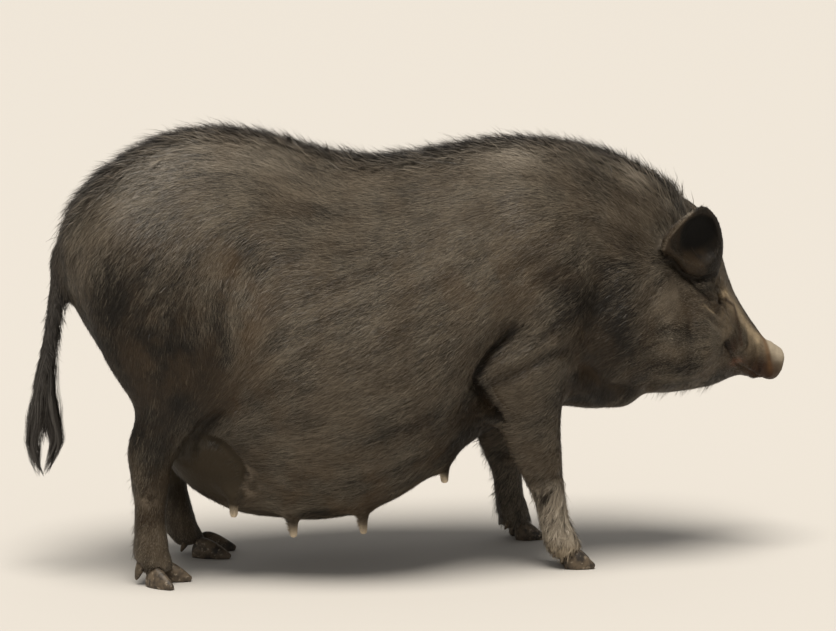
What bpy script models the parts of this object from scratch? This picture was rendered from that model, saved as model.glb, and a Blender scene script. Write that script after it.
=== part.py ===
"""A black pot-bellied village sow, life size, standing in mid step.

Run it with: blender --background --python part.py
Metres, +Z up.  The sow faces +X, her left side is +Y, and her hooves stand on Z = 0.

The body is modelled whole: lofted limbs grow together into one skin, which is smoothed and pressed
into folds, and is then parted with thin cuts into the pieces that a person would name.
"""

import math

import bmesh
import bpy
import numpy as np
from mathutils import Matrix, Vector

GAP = 0.0005            # the thin cut between two pieces
GRAIN = 0.005           # how finely overlapping limbs grow together
FLESH_TRIANGLES = 2250  # what the whole body is thinned to before it is parted
SIDES = {"right": -1, "left": 1}

# Each line is one cross-section, read from the side of the animal:
# (upper or front edge x, z), (lower or back edge x, z), half width, how far across it is widest, Y.
# A form closes at the points of its first and last lines.
TRUNK = [
    ((-0.511, 0.490), (-0.511, 0.490), 0.000, 0.50, 0),
    ((-0.499, 0.538), (-0.497, 0.430), 0.060, 0.50, 0),
    ((-0.470, 0.586), (-0.462, 0.365), 0.100, 0.52, 0),
    ((-0.420, 0.631), (-0.400, 0.264), 0.132, 0.55, 0),     # pin bones
    ((-0.335, 0.671), (-0.325, 0.136), 0.160, 0.60, 0),     # hips
    ((-0.262, 0.680), (-0.250, 0.090), 0.178, 0.55, 0),
    ((-0.190, 0.668), (-0.175, 0.076), 0.196, 0.47, 0),
    ((-0.110, 0.644), (-0.100, 0.074), 0.210, 0.44, 0),     # the belly's lowest
    ((-0.050, 0.633), (-0.035, 0.089), 0.213, 0.43, 0),     # the back's sway
    ((0.030, 0.637), (0.035, 0.125), 0.204, 0.43, 0),
    ((0.110, 0.650), (0.105, 0.180), 0.188, 0.45, 0),
    ((0.200, 0.657), (0.185, 0.222), 0.170, 0.46, 0),       # withers
    ((0.274, 0.649), (0.250, 0.236), 0.156, 0.44, 0),
    ((0.337, 0.634), (0.300, 0.230), 0.146, 0.42, 0),       # brisket
    ((0.390, 0.610), (0.350, 0.232), 0.134, 0.40, 0),
    ((0.432, 0.583), (0.398, 0.262), 0.116, 0.40, 0),
    ((0.440, 0.430), (0.440, 0.430), 0.000, 0.40, 0),
]
HEAD = [
    ((0.360, 0.430), (0.360, 0.430), 0.000, 0.40, 0),
    ((0.415, 0.575), (0.370, 0.265), 0.112, 0.40, 0),
    ((0.452, 0.560), (0.405, 0.252), 0.120, 0.38, 0),       # poll and jowls
    ((0.484, 0.534), (0.440, 0.254), 0.113, 0.35, 0),
    ((0.505, 0.492), (0.478, 0.258), 0.097, 0.36, 0),
    ((0.518, 0.450), (0.503, 0.263), 0.080, 0.40, 0),       # eyes
    ((0.534, 0.411), (0.523, 0.270), 0.062, 0.45, 0),
    ((0.554, 0.379), (0.543, 0.274), 0.047, 0.48, 0),       # dish of the face
    ((0.574, 0.350), (0.562, 0.274), 0.038, 0.50, 0),
    ((0.591, 0.329), (0.580, 0.268), 0.034, 0.50, 0),       # muzzle
    ((0.601, 0.321), (0.595, 0.268), 0.031, 0.50, 0),
    ((0.600, 0.295), (0.600, 0.295), 0.000, 0.50, 0),
]
FORELEG = [
    ((0.205, 0.470), (0.205, 0.470), 0.000, 0.50, 0.105),
    ((0.285, 0.430), (0.130, 0.420), 0.056, 0.45, 0.110),   # point of the shoulder
    ((0.276, 0.360), (0.106, 0.325), 0.060, 0.45, 0.112),   # elbow
    ((0.250, 0.290), (0.120, 0.262), 0.052, 0.50, 0.111),
    ((0.241, 0.240), (0.146, 0.218), 0.041, 0.50, 0.109),
    ((0.243, 0.185), (0.168, 0.170), 0.033, 0.50, 0.108),
    ((0.247, 0.142), (0.186, 0.137), 0.030, 0.50, 0.107),   # knee
    ((0.251, 0.110), (0.202, 0.104), 0.025, 0.50, 0.106),
    ((0.258, 0.076), (0.211, 0.070), 0.026, 0.50, 0.106),   # fetlock
    ((0.270, 0.048), (0.219, 0.042), 0.029, 0.50, 0.106),
    ((0.276, 0.030), (0.229, 0.022), 0.027, 0.50, 0.106),
    ((0.255, 0.014), (0.255, 0.014), 0.000, 0.50, 0.106),
]
HINDLEG = [
    ((-0.320, 0.540), (-0.320, 0.540), 0.000, 0.50, 0.100),
    ((-0.225, 0.480), (-0.470, 0.460), 0.056, 0.50, 0.105),  # hip
    ((-0.235, 0.380), (-0.462, 0.370), 0.064, 0.50, 0.108),
    ((-0.262, 0.300), (-0.432, 0.312), 0.058, 0.50, 0.106),  # stifle
    ((-0.308, 0.245), (-0.404, 0.262), 0.044, 0.50, 0.105),
    ((-0.340, 0.198), (-0.416, 0.212), 0.034, 0.50, 0.104),  # hock
    ((-0.351, 0.150), (-0.411, 0.158), 0.027, 0.50, 0.104),
    ((-0.356, 0.106), (-0.406, 0.108), 0.024, 0.50, 0.104),
    ((-0.354, 0.070), (-0.408, 0.064), 0.027, 0.50, 0.104),  # fetlock
    ((-0.352, 0.048), (-0.406, 0.038), 0.029, 0.50, 0.104),
    ((-0.345, 0.028), (-0.396, 0.019), 0.028, 0.50, 0.104),
    ((-0.368, 0.014), (-0.368, 0.014), 0.000, 0.50, 0.104),
]
TAIL = [
    ((-0.470, 0.500), (-0.470, 0.500), 0.000, 0.50, 0),
    ((-0.480, 0.475), (-0.512, 0.505), 0.019, 0.50, -0.001),
    ((-0.492, 0.440), (-0.520, 0.448), 0.015, 0.50, -0.004),
    ((-0.505, 0.370), (-0.530, 0.374), 0.012, 0.50, -0.008),
    ((-0.518, 0.306), (-0.545, 0.310), 0.011, 0.50, -0.010),
    ((-0.514, 0.276), (-0.551, 0.282), 0.013, 0.50, -0.010),   # the tuft starts
    ((-0.504, 0.235), (-0.559, 0.240), 0.017, 0.50, -0.011),
    ((-0.503, 0.200), (-0.559, 0.205), 0.016, 0.50, -0.012),
    ((-0.514, 0.170), (-0.553, 0.172), 0.010, 0.50, -0.012),
    ((-0.538, 0.150), (-0.538, 0.150), 0.000, 0.50, -0.012),
]
TUFT_FROM = 0.292

# The ears swing out: their last two numbers are the Y of the front edge and of the back edge.
EAR = [
    ((0.466, 0.426), (0.466, 0.426), 0.000, 0.50, 0.080, 0.080),
    ((0.487, 0.447), (0.438, 0.447), 0.018, 0.50, 0.079, 0.092),
    ((0.494, 0.467), (0.410, 0.468), 0.022, 0.50, 0.079, 0.113),
    ((0.495, 0.494), (0.384, 0.490), 0.022, 0.50, 0.083, 0.134),
    ((0.490, 0.516), (0.386, 0.512), 0.019, 0.50, 0.089, 0.138),
    ((0.481, 0.534), (0.410, 0.533), 0.013, 0.50, 0.096, 0.132),
    ((0.468, 0.547), (0.434, 0.547), 0.007, 0.50, 0.104, 0.122),
    ((0.454, 0.555), (0.454, 0.555), 0.000, 0.50, 0.112, 0.112),
]
EAR_CUP = [
    ((0.448, 0.462), (0.448, 0.462), 0.000, 0.50, 0.122, 0.122),
    ((0.480, 0.478), (0.414, 0.478), 0.020, 0.50, 0.104, 0.136),
    ((0.487, 0.496), (0.394, 0.492), 0.026, 0.50, 0.106, 0.150),
    ((0.483, 0.516), (0.392, 0.511), 0.026, 0.50, 0.110, 0.155),
    ((0.474, 0.532), (0.412, 0.530), 0.020, 0.50, 0.116, 0.148),
    ((0.455, 0.548), (0.455, 0.548), 0.000, 0.50, 0.128, 0.128),
]

# How far ahead of the outlines above, and to the left of them, each foot stands.
STEP = {"fore_right": (0.0, 0.024), "fore_left": (-0.036, 0.020),
        "hind_right": (0.0, 0.022), "hind_left": (0.068, 0.000)}
SWINGS_FROM = {"fore": 0.30, "hind": 0.42}     # the height a leg swings from
# Where the backs of the hooves are, how far the toes turn out and spread (degrees), their length, and
# how far each stands from the middle of the foot.
FEET = {
    "fore_right": {"heel": (0.247, -0.079), "out": 2, "spread": 11, "length": 0.050, "apart": 0.0135},
    "fore_left": {"heel": (0.213, 0.128), "out": 4, "spread": 12, "length": 0.049, "apart": 0.0135},
    "hind_right": {"heel": (-0.380, -0.078), "out": 32, "spread": 18, "length": 0.056, "apart": 0.0140},
    "hind_left": {"heel": (-0.300, 0.103), "out": -14, "spread": 10, "length": 0.066, "apart": 0.0190},
}
HOOF = {"width": 0.026, "height": 0.034}
DEWCLAW = {"length": 0.034, "width": 0.015, "apart": 0.016, "behind": 0.018, "droop": 102,
           "lift": {"fore": 0.017, "hind": 0.006}}
EYE = {"ahead": 0.494, "above": 0.404, "radius": 0.0125, "depth": 0.009}
DISC = {"top": (0.6065, 0.3185), "bottom": (0.591, 0.2685), "width": 0.062, "thick": 0.010}
# Each pair of teats: where along the belly, how far from the middle, how high its root, how long.
TEATS = [(-0.258, 0.098, 0.125, 0.024), (-0.167, 0.085, 0.092, 0.028),
         (-0.061, 0.085, 0.095, 0.030), (0.064, 0.080, 0.159, 0.021)]
TEAT_WIDTH = 0.015


# Tools that the rest uses.


def clear_scene():
    for old in list(bpy.data.objects):
        bpy.data.objects.remove(old)


def link(name, mesh):
    made = bpy.data.objects.new(name, mesh)
    bpy.context.scene.collection.objects.link(made)
    return made


def evaluated(source, name):
    """A plain mesh object of what the modifiers of source make."""
    bpy.context.view_layer.update()
    graph = bpy.context.evaluated_depsgraph_get()
    mesh = bpy.data.meshes.new_from_object(source.evaluated_get(graph))
    bpy.data.objects.remove(source)
    return link(name, mesh)


def flow(lines, steps):
    """A smooth curve through the lines of a loft, with rounded ends, sampled between each two."""
    rows = np.array([[*upper, *lower, half, widest, y[0], y[-1]]
                     for upper, lower, half, widest, *y in lines])
    # Past each end the form turns back with its edges swapped, which rounds it.
    turned = [rows[1][[2, 3, 0, 1, 4, 5, 7, 6]], rows[-2][[2, 3, 0, 1, 4, 5, 7, 6]]]
    for row in turned:
        row[4] = -row[4]
    rows = np.vstack([turned[0], rows, turned[1]])
    lengths = np.linalg.norm(np.diff(rows[:, :5], axis=0), axis=1)
    at = np.concatenate([[0], np.cumsum(lengths)])
    slopes = np.diff(rows, axis=0) / lengths[:, None]
    tangents = (slopes[:-1] * lengths[1:, None] + slopes[1:] * lengths[:-1, None])
    tangents = tangents / (lengths[:-1] + lengths[1:])[:, None]
    made = [rows[1]]
    for i in range(1, len(rows) - 2):
        span = at[i + 1] - at[i]
        for t in np.linspace(0, 1, steps + 1)[1:]:
            made.append((2 * t**3 - 3 * t**2 + 1) * rows[i]
                        + (t**3 - 2 * t**2 + t) * span * tangents[i - 1]
                        + (3 * t**2 - 2 * t**3) * rows[i + 1]
                        + (t**3 - t**2) * span * tangents[i])
    return np.array(made)


def ring(row, sides, fullness):
    """The points of one cross-section.  Fullness 2 is an oval, more is squarer, less is keener."""
    lower = Vector((row[2], row[7], row[3]))
    across = Vector((row[0], row[6], row[1])) - lower
    half, widest = row[4:6]
    points = []
    for i in range(sides):
        turn = math.tau * i / sides
        c, s = math.cos(turn), math.sin(turn)
        power = 2 / (fullness[0] if c >= 0 else fullness[1])
        height = widest + (1 - widest) * c**power if c >= 0 else widest - widest * (-c) ** power
        points.append(lower + across * height
                      + Vector((0, half * math.copysign(abs(s) ** power, s), 0)))
    return points


def loft(name, lines, sides=32, steps=4, fullness=(2.0, 2.0)):
    rows = flow(lines, steps)
    bm = bmesh.new()
    rings = [[bm.verts.new(p) for p in ring(row, sides, fullness)] for row in rows[1:-1]]
    for first, second in zip(rings, rings[1:]):
        for i in range(sides):
            j = (i + 1) % sides
            bm.faces.new((first[i], first[j], second[j], second[i]))
    for row, edge in ((rows[0], rings[0]), (rows[-1], rings[-1])):
        tip = bm.verts.new((row[0], row[6], row[1]))
        for i in range(sides):
            bm.faces.new((tip, edge[i], edge[(i + 1) % sides]))
    bmesh.ops.recalc_face_normals(bm, faces=bm.faces)
    mesh = bpy.data.meshes.new(name)
    bm.to_mesh(mesh)
    bm.free()
    return link(name, mesh)


def blob(name, centre, radii, turn=0.0, sides=28):
    """An egg-shaped mass of flesh, tipped by turn degrees nose up."""
    bm = bmesh.new()
    bmesh.ops.create_uvsphere(bm, u_segments=sides, v_segments=sides // 2, radius=1)
    place = (Matrix.Translation(centre) @ Matrix.Rotation(math.radians(-turn), 4, "Y")
             @ Matrix.Diagonal((*radii, 1)))
    bmesh.ops.transform(bm, matrix=place, verts=bm.verts)
    mesh = bpy.data.meshes.new(name)
    bm.to_mesh(mesh)
    bm.free()
    return link(name, mesh)


def both(name, centre, radii, turn=0.0):
    return [blob(f"{name}_{side}", (centre[0], sign * centre[1], centre[2]), radii, turn)
            for side, sign in SIDES.items()]


def join(pieces, name):
    bm = bmesh.new()
    for piece in pieces:
        bm.from_mesh(piece.data)
        bpy.data.objects.remove(piece)
    mesh = bpy.data.meshes.new(name)
    bm.to_mesh(mesh)
    bm.free()
    return link(name, mesh)


def shape_of(mesh):
    points, normals = np.empty(len(mesh.vertices) * 3), np.empty(len(mesh.vertices) * 3)
    mesh.vertices.foreach_get("co", points)
    mesh.vertices.foreach_get("normal", normals)
    return points.reshape(-1, 3), normals.reshape(-1, 3)


def ease(value, low, high):
    t = np.clip((value - low) / (high - low), 0, 1)
    return t * t * (3 - 2 * t)


def near_path(points, path):
    """How far each point is from a line through the places of path."""
    path = np.array(path, float)
    nearest = np.full(len(points), np.inf)
    for a, b in zip(path, path[1:]):
        t = np.clip((points - a) @ (b - a) / ((b - a) @ (b - a)), 0, 1)
        nearest = np.minimum(nearest, np.linalg.norm(points - a - t[:, None] * (b - a), axis=1))
    return nearest


def copy_of(source):
    copy = source.copy()
    copy.data = source.data.copy()
    bpy.context.scene.collection.objects.link(copy)
    return copy


def swollen(source, gap):
    """The source made larger by gap all round, to cut its place out of a neighbour."""
    swell = source.modifiers.new("gap", "DISPLACE")
    swell.strength, swell.mid_level = gap, 0
    return evaluated(source, "cutter")


def cut(target, cutter, operation="DIFFERENCE"):
    """The target with the cutter taken from it, or kept to what they share."""
    name = target.name
    target.name = name + "_uncut"
    boolean = target.modifiers.new("cut", "BOOLEAN")
    boolean.operation, boolean.object, boolean.solver = operation, cutter, "EXACT"
    made = evaluated(target, name)
    bpy.data.objects.remove(cutter)
    return made


def prism(outline, y_low, y_high):
    """A flat-sided block with this outline in XZ, between two Y."""
    bm = bmesh.new()
    face = bm.faces.new([bm.verts.new((x, y_low, z)) for x, z in outline])
    moved = bmesh.ops.extrude_face_region(bm, geom=[face])["geom"]
    bmesh.ops.translate(bm, vec=(0, y_high - y_low, 0),
                        verts=[v for v in moved if isinstance(v, bmesh.types.BMVert)])
    bmesh.ops.recalc_face_normals(bm, faces=bm.faces)
    mesh = bpy.data.meshes.new("block")
    bm.to_mesh(mesh)
    bm.free()
    return link("block", mesh)


def part_off(whole, name, outline, y_low=-1.0, y_high=1.0):
    """Parts what lies inside a block from the whole, with a thin cut.  Returns (whole, piece)."""
    piece = copy_of(whole)
    piece.name = name
    piece = cut(piece, prism(outline, y_low, y_high), "INTERSECT")
    return cut(whole, swollen(prism(outline, y_low, y_high), GAP)), piece


# The body, whole.


def leg_lines(kind, side):
    """A leg's outline on one side, swung to its place in the step."""
    ahead, aside = STEP[f"{kind}_{side}"]
    swung = []
    for upper, lower, half, widest, y in FORELEG if kind == "fore" else HINDLEG:
        edges = [(x + ahead * swing(kind, z), z) for x, z in (upper, lower)]
        swung.append((*edges, half, widest, y * SIDES[side] + aside * swing(kind, lower[1])))
    return swung


def swing(kind, z):
    return max(0.0, 1 - max(z, 0) / SWINGS_FROM[kind])


def teat_forms():
    """The milk glands and teats, which hang along both sides of the belly."""
    forms = []
    belly = flow(TRUNK, 12)
    for along, out, z, length in TEATS:
        nearest = np.argmin(abs(belly[:, 2] - along))
        run, rise_ahead = (belly[nearest + 4] - belly[nearest - 4])[2:4]
        slope = math.degrees(math.atan2(rise_ahead, run))
        for side, sign in SIDES.items():
            y = sign * out
            forms.append(blob("gland", (along, y, z + 0.010), (0.030, 0.026, 0.014), slope))
            w = TEAT_WIDTH / 2
            tip = z - length
            lines = [((along, z + 0.020), (along, z + 0.020), 0, 0.5, y)]
            for share, wide in ((-0.3, 2.2), (0.12, 1.35), (0.45, 1.0), (0.85, 0.9)):
                at = z - share * length
                lines.append(((along + w * wide, at), (along - w * wide, at), w * wide, 0.5,
                              y + sign * 0.004 * share))
            lines.append(((along, tip), (along, tip), 0, 0.5, y + sign * 0.004))
            forms.append(loft("teat", lines, sides=16, steps=2))
    return forms


def grow_body():
    """Every limb and mass of flesh, grown together into one closed skin."""
    forms = [loft("trunk", TRUNK, sides=48, fullness=(2.0, 2.15)),
             loft("head", HEAD, sides=40, fullness=(1.85, 2.3))]
    for side in SIDES:
        forms += [loft("foreleg", leg_lines("fore", side)), loft("hindleg", leg_lines("hind", side))]
    forms += both("shoulder", (0.205, 0.105, 0.455), (0.105, 0.066, 0.150), 12)
    forms += both("ham", (-0.350, 0.086, 0.440), (0.130, 0.082, 0.160), 20)
    forms += both("jowl", (0.420, 0.070, 0.349), (0.085, 0.060, 0.078), -10)
    forms += both("cheek", (0.476, 0.048, 0.343), (0.055, 0.036, 0.052), -20)
    forms += both("brow", (0.490, 0.046, 0.432), (0.026, 0.020, 0.016), -50)
    forms += both("ear_root", (0.455, 0.068, 0.446), (0.034, 0.028, 0.030))
    forms += [blob("upper_lip", (0.578, 0, 0.287), (0.034, 0.034, 0.022), -10)]
    forms += teat_forms()
    body = join(forms, "body_forms")
    grown = body.modifiers.new("grow", "REMESH")
    grown.mode, grown.voxel_size, grown.adaptivity = "VOXEL", GRAIN, 0
    body = evaluated(body, "body_grown")
    return smooth_joints(body)


def smooth_joints(body):
    """Rounds the creases where limbs leave the trunk, and leaves the feet and face crisp."""
    points, _ = shape_of(body.data)
    x, y, z = points.T
    soft = ease(z, 0.17, 0.30) * (1 - ease(x, 0.42, 0.50))
    soft = np.maximum(soft, 0.06)
    teats = (abs(x + 0.05) < 0.27) & (z < 0.22)
    soft[teats] = 0.06
    group = body.vertex_groups.new(name="soft")
    steps = np.round(soft, 2)
    for share in np.unique(steps):
        group.add(np.nonzero(steps == share)[0].tolist(), share, "REPLACE")
    smooth = body.modifiers.new("smooth", "SMOOTH")
    smooth.factor, smooth.iterations, smooth.vertex_group = 0.5, 60, "soft"
    return evaluated(body, "body_smooth")


# The folds: a path over the skin at Y on each side, how deep it is pressed, and how wide.
FOLDS = {
    "elbow": ([(0.152, 0.19, 0.372), (0.122, 0.19, 0.335), (0.112, 0.18, 0.300), (0.130, 0.16, 0.255)],
              0.020, 0.016),
    "flank": ([(-0.262, 0.18, 0.280), (-0.300, 0.17, 0.255), (-0.330, 0.15, 0.215)], 0.012, 0.014),
    "neck": ([(0.305, 0.17, 0.420), (0.298, 0.17, 0.350), (0.306, 0.16, 0.290), (0.335, 0.14, 0.250)],
             0.010, 0.022),
    "flank_hollow": ([(-0.235, 0.19, 0.530), (-0.222, 0.19, 0.450)], 0.006, 0.040),
    "mouth": ([(0.516, 0.075, 0.322), (0.545, 0.055, 0.298), (0.570, 0.040, 0.281), (0.590, 0.0, 0.272)],
              0.004, 0.006),
    "eye": ([(0.497, 0.075, 0.406), (0.504, 0.070, 0.398)], 0.005, 0.014),
}


def press_folds(body):
    points, normals = shape_of(body.data)
    push = np.zeros(len(points))
    for path, depth, width in FOLDS.values():
        for sign in SIDES.values():
            away = near_path(points, [(x, sign * y, z) for x, y, z in path])
            # The path floats at the skin or just off it, so only its own stretch of skin is near.
            push += depth * np.exp(-((away / (width * 1.5)) ** 2))
    points -= normals * push[:, None]
    body.data.vertices.foreach_set("co", points.ravel())
    body.data.update()
    return body


# Hard and separate pieces.


# A hoof's outline: how far along it, how wide and how high there, as shares of its full size.
CLAW_SHAPE = [(0.05, 0.60, 0.66), (0.22, 0.92, 1.00), (0.46, 1.00, 0.90), (0.72, 0.78, 0.60),
              (0.95, 0.36, 0.26)]


def claw(name, length, width, height, place, sides=10):
    """A hoof: a blunt wedge with a flat sole, its heel at X = 0 and its toe ahead."""
    bm = bmesh.new()
    rings = []
    turns = [math.tau * (i + 0.5) / sides for i in range(sides)]
    for along, wide, tall in CLAW_SHAPE:
        edge = []
        for a in turns:
            y = wide * width / 2 * math.sin(a) * (1 - 0.2 * math.cos(a))
            z = max(0.0, height * tall * (0.35 + 0.65 * math.cos(a)))
            edge.append(bm.verts.new((length * along, y, z)))
        rings.append(edge)
    for first, second in zip(rings, rings[1:]):
        for i in range(sides):
            j = (i + 1) % sides
            bm.faces.new((first[i], first[j], second[j], second[i]))
    for edge, x in ((rings[0], 0.0), (rings[-1], length)):
        tip = bm.verts.new((x, 0, height * 0.16))
        for i in range(sides):
            bm.faces.new((tip, edge[i], edge[(i + 1) % sides]))
    bmesh.ops.transform(bm, matrix=place, verts=bm.verts)
    bmesh.ops.recalc_face_normals(bm, faces=bm.faces)
    mesh = bpy.data.meshes.new(name)
    bm.to_mesh(mesh)
    bm.free()
    return link(name, mesh)


def turned(axis, degrees):
    return Matrix.Rotation(math.radians(degrees), 4, axis)


def build_hooves(kind, side):
    """Two walking hooves and two dewclaws of one foot."""
    foot = FEET[f"{kind}_{side}"]
    place = Matrix.Translation((*foot["heel"], 0)) @ turned("Z", foot["out"] * SIDES[side])
    made = []
    for inner, sign in (("inner", -SIDES[side]), ("outer", SIDES[side])):
        at = Matrix.Translation((0, sign * foot["apart"], 0)) @ turned("Z", foot["spread"] * sign)
        made.append(claw(f"hoof_{kind}_{side}_{inner}", foot["length"], HOOF["width"],
                         HOOF["height"], place @ at))
        at = Matrix.Translation((-DEWCLAW["behind"], sign * DEWCLAW["apart"], DEWCLAW["lift"][kind]))
        tip_down = (turned("Z", foot["spread"] * sign) @ turned("Y", DEWCLAW["droop"])
                    @ Matrix.Translation((-DEWCLAW["length"], 0, 0)))
        made.append(claw(f"dewclaw_{kind}_{side}_{inner}", DEWCLAW["length"], DEWCLAW["width"],
                         DEWCLAW["width"], place @ at @ tip_down, sides=8))
    return made


def build_disc():
    """The flat round end of the snout, with two nostrils."""
    top = Vector((DISC["top"][0], 0, DISC["top"][1]))
    bottom = Vector((DISC["bottom"][0], 0, DISC["bottom"][1]))
    up = (top - bottom).normalized()
    ahead = Vector((0, 1, 0)).cross(up)
    place = Matrix((ahead, Vector((0, 1, 0)), up)).transposed().to_4x4()
    place.translation = (top + bottom) / 2
    tall, wide, thick = (top - bottom).length / 2, DISC["width"] / 2, DISC["thick"]
    sides = 22
    bm = bmesh.new()
    rings = []
    for x, share in ((-thick * 1.1, 0.80), (-thick * 0.2, 0.93), (thick * 0.35, 1.0),
                     (thick * 0.75, 0.96), (thick, 0.84), (thick * 0.93, 0.45)):
        # The rim is widest above its middle, like a shield with round corners.
        rings.append([bm.verts.new((x, share * wide * math.sin(a) * (1 + 0.07 * math.cos(a)),
                                    share * tall * math.cos(a)))
                      for a in (math.tau * i / sides for i in range(sides))])
    for first, second in zip(rings, rings[1:]):
        for i in range(sides):
            j = (i + 1) % sides
            bm.faces.new((first[i], first[j], second[j], second[i]))
    bm.faces.new(rings[0])
    bm.faces.new(rings[-1])
    bmesh.ops.transform(bm, matrix=place, verts=bm.verts)
    bmesh.ops.recalc_face_normals(bm, faces=bm.faces)
    mesh = bpy.data.meshes.new("snout_disc")
    bm.to_mesh(mesh)
    bm.free()
    disc = link("snout_disc", mesh)
    for sign in SIDES.values():
        pit = blob("nostril", place @ Vector((thick * 0.9, sign * 0.0135, -0.001)),
                   (0.009, 0.0050, 0.0068), 20, sides=12)
        disc = cut(disc, pit)
    return disc


def build_ear(side):
    """A short cupped ear that stands up and opens outwards."""
    sign = SIDES[side]
    ear = [(*line[:4], sign * line[4], sign * line[5]) for line in EAR]
    cup = [(*line[:4], sign * line[4], sign * line[5]) for line in EAR_CUP]
    return cut(loft(f"ear_{side}", ear, sides=16, steps=2), loft("ear_cup", cup, sides=12, steps=2))


def seat_eye(body, side):
    """An eyeball set its depth under the skin of the brow."""
    sign = SIDES[side]
    start = Vector((EYE["ahead"], sign * 0.3, EYE["above"]))
    hit, spot, normal, _ = body.ray_cast(start, (0, -sign, 0))
    if not hit:
        raise ValueError("the eye is off the face")
    centre = spot - normal * EYE["depth"]
    bm = bmesh.new()
    bmesh.ops.create_uvsphere(bm, u_segments=14, v_segments=8, radius=EYE["radius"])
    turn = normal.to_track_quat("Z", "Y").to_matrix().to_4x4()
    bmesh.ops.transform(bm, matrix=Matrix.Translation(centre) @ turn, verts=bm.verts)
    mesh = bpy.data.meshes.new(f"eye_{side}")
    bm.to_mesh(mesh)
    bm.free()
    return link(f"eye_{side}", mesh)


# Parted into named pieces.

# Blocks that part the body, as outlines in XZ.
HEAD_BLOCK = [(0.428, 0.70), (0.408, 0.46), (0.350, 0.34), (0.328, 0.15), (0.80, 0.15), (0.80, 0.70)]
JAW_BLOCK = [(0.516, 0.333), (0.529, 0.306), (0.551, 0.284), (0.572, 0.264), (0.56, 0.15),
             (0.36, 0.15), (0.400, 0.300), (0.450, 0.340)]
NECK_BLOCK = [(0.318, 0.75), (0.292, 0.44), (0.268, 0.32), (0.262, 0.15), (0.80, 0.15), (0.80, 0.75)]
FORE_BLOCK = [(0.098, 0.342), (0.112, 0.290), (0.132, 0.225), (0.150, 0.170), (0.140, -0.1),
              (0.40, -0.1), (0.345, 0.20), (0.262, 0.318), (0.190, 0.352)]
HIND_BLOCK = [(-0.262, 0.288), (-0.322, 0.215), (-0.336, 0.160), (-0.300, -0.1),
              (-0.60, -0.1), (-0.60, 0.360), (-0.430, 0.350), (-0.340, 0.318)]
INNER_THIGH = 0.042                            # how far from the middle the legs begin
KNEE, HOCK, FETLOCK = 0.142, 0.198, 0.066      # heights where the legs bend
LEGS = {
    "fore": (FORE_BLOCK, KNEE, "foreleg", "forecannon", "forefoot"),
    "hind": (HIND_BLOCK, HOCK, "thigh", "hindcannon", "hindfoot"),
}


def stepped(outline, kind, side):
    """A block's outline swung with its leg."""
    ahead, _ = STEP[f"{kind}_{side}"]
    return [(x + ahead * swing(kind, z), z) for x, z in outline]


def below(z):
    return [(-1, -1), (1, -1), (1, z), (-1, z)]


def part_body(body):
    """The whole body, parted into head, jaw, neck, trunk and the three parts of each leg."""
    pieces = []
    body, neck = part_off(body, "neck", NECK_BLOCK)
    neck, head = part_off(neck, "head", HEAD_BLOCK)
    head, jaw = part_off(head, "lower_jaw", JAW_BLOCK)
    pieces += [neck, head, jaw]
    for kind, (block, joint, upper, middle, lower) in LEGS.items():
        for side, sign in SIDES.items():
            low, high = sorted((sign * INNER_THIGH, sign * 0.5))
            body, leg = part_off(body, f"{upper}_{side}", stepped(block, kind, side), low, high)
            leg, shank = part_off(leg, f"{middle}_{side}", below(joint))
            shank, foot = part_off(shank, f"{lower}_{side}", below(FETLOCK))
            pieces += [leg, shank, foot]
    body.name = "trunk"
    return pieces + [body]


def without_crumbs(piece):
    """The piece's largest closed body.  A cut between two claws can leave a crumb of flesh."""
    bm = bmesh.new()
    bm.from_mesh(piece.data)
    left, islands = set(bm.verts), []
    while left:
        queue = [left.pop()]
        island = set(queue)
        while queue:
            for edge in queue.pop().link_edges:
                for vert in edge.verts:
                    if vert in left:
                        left.discard(vert)
                        island.add(vert)
                        queue.append(vert)
        islands.append(island)
    islands.sort(key=len)
    crumbs = [vert for island in islands[:-1] for vert in island]
    bmesh.ops.delete(bm, geom=crumbs, context="VERTS")
    bm.to_mesh(piece.data)
    bm.free()


COLOURS = {      # base colour, roughness
    "hide": ((0.035, 0.031, 0.028), 0.70),
    "ear": ((0.040, 0.034, 0.031), 0.68),
    "snout": ((0.33, 0.25, 0.22), 0.48),
    "eye": ((0.018, 0.012, 0.010), 0.12),
    "hoof": ((0.085, 0.070, 0.055), 0.60),
    "hair": ((0.022, 0.021, 0.023), 0.62),
}


def colour(piece):
    kind = next((word for word in ("ear", "snout", "eye") if piece.name.startswith(word)), "hide")
    if piece.name.startswith(("hoof", "dewclaw")):
        kind = "hoof"
    if piece.name == "tail_tuft":
        kind = "hair"
    base, roughness = COLOURS[kind]
    material = bpy.data.materials.new(f"{piece.name}_{kind}")
    material.use_nodes = True
    shader = material.node_tree.nodes["Principled BSDF"]
    shader.inputs["Base Color"].default_value = (*base, 1)
    shader.inputs["Roughness"].default_value = roughness
    shader.inputs["Metallic"].default_value = 0
    material.diffuse_color = (*base, 1)
    piece.data.materials.clear()
    piece.data.materials.append(material)
    piece.data.shade_smooth()


def stand_on_origin(pieces):
    """Moves the sow so that the middle of her box, on the floor, is the origin."""
    corners = np.vstack([shape_of(piece.data)[0] for piece in pieces])
    middle = (corners.min(axis=0) + corners.max(axis=0)) / 2
    for piece in pieces:
        piece.data.transform(Matrix.Translation((-middle[0], -middle[1], 0)))


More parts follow.
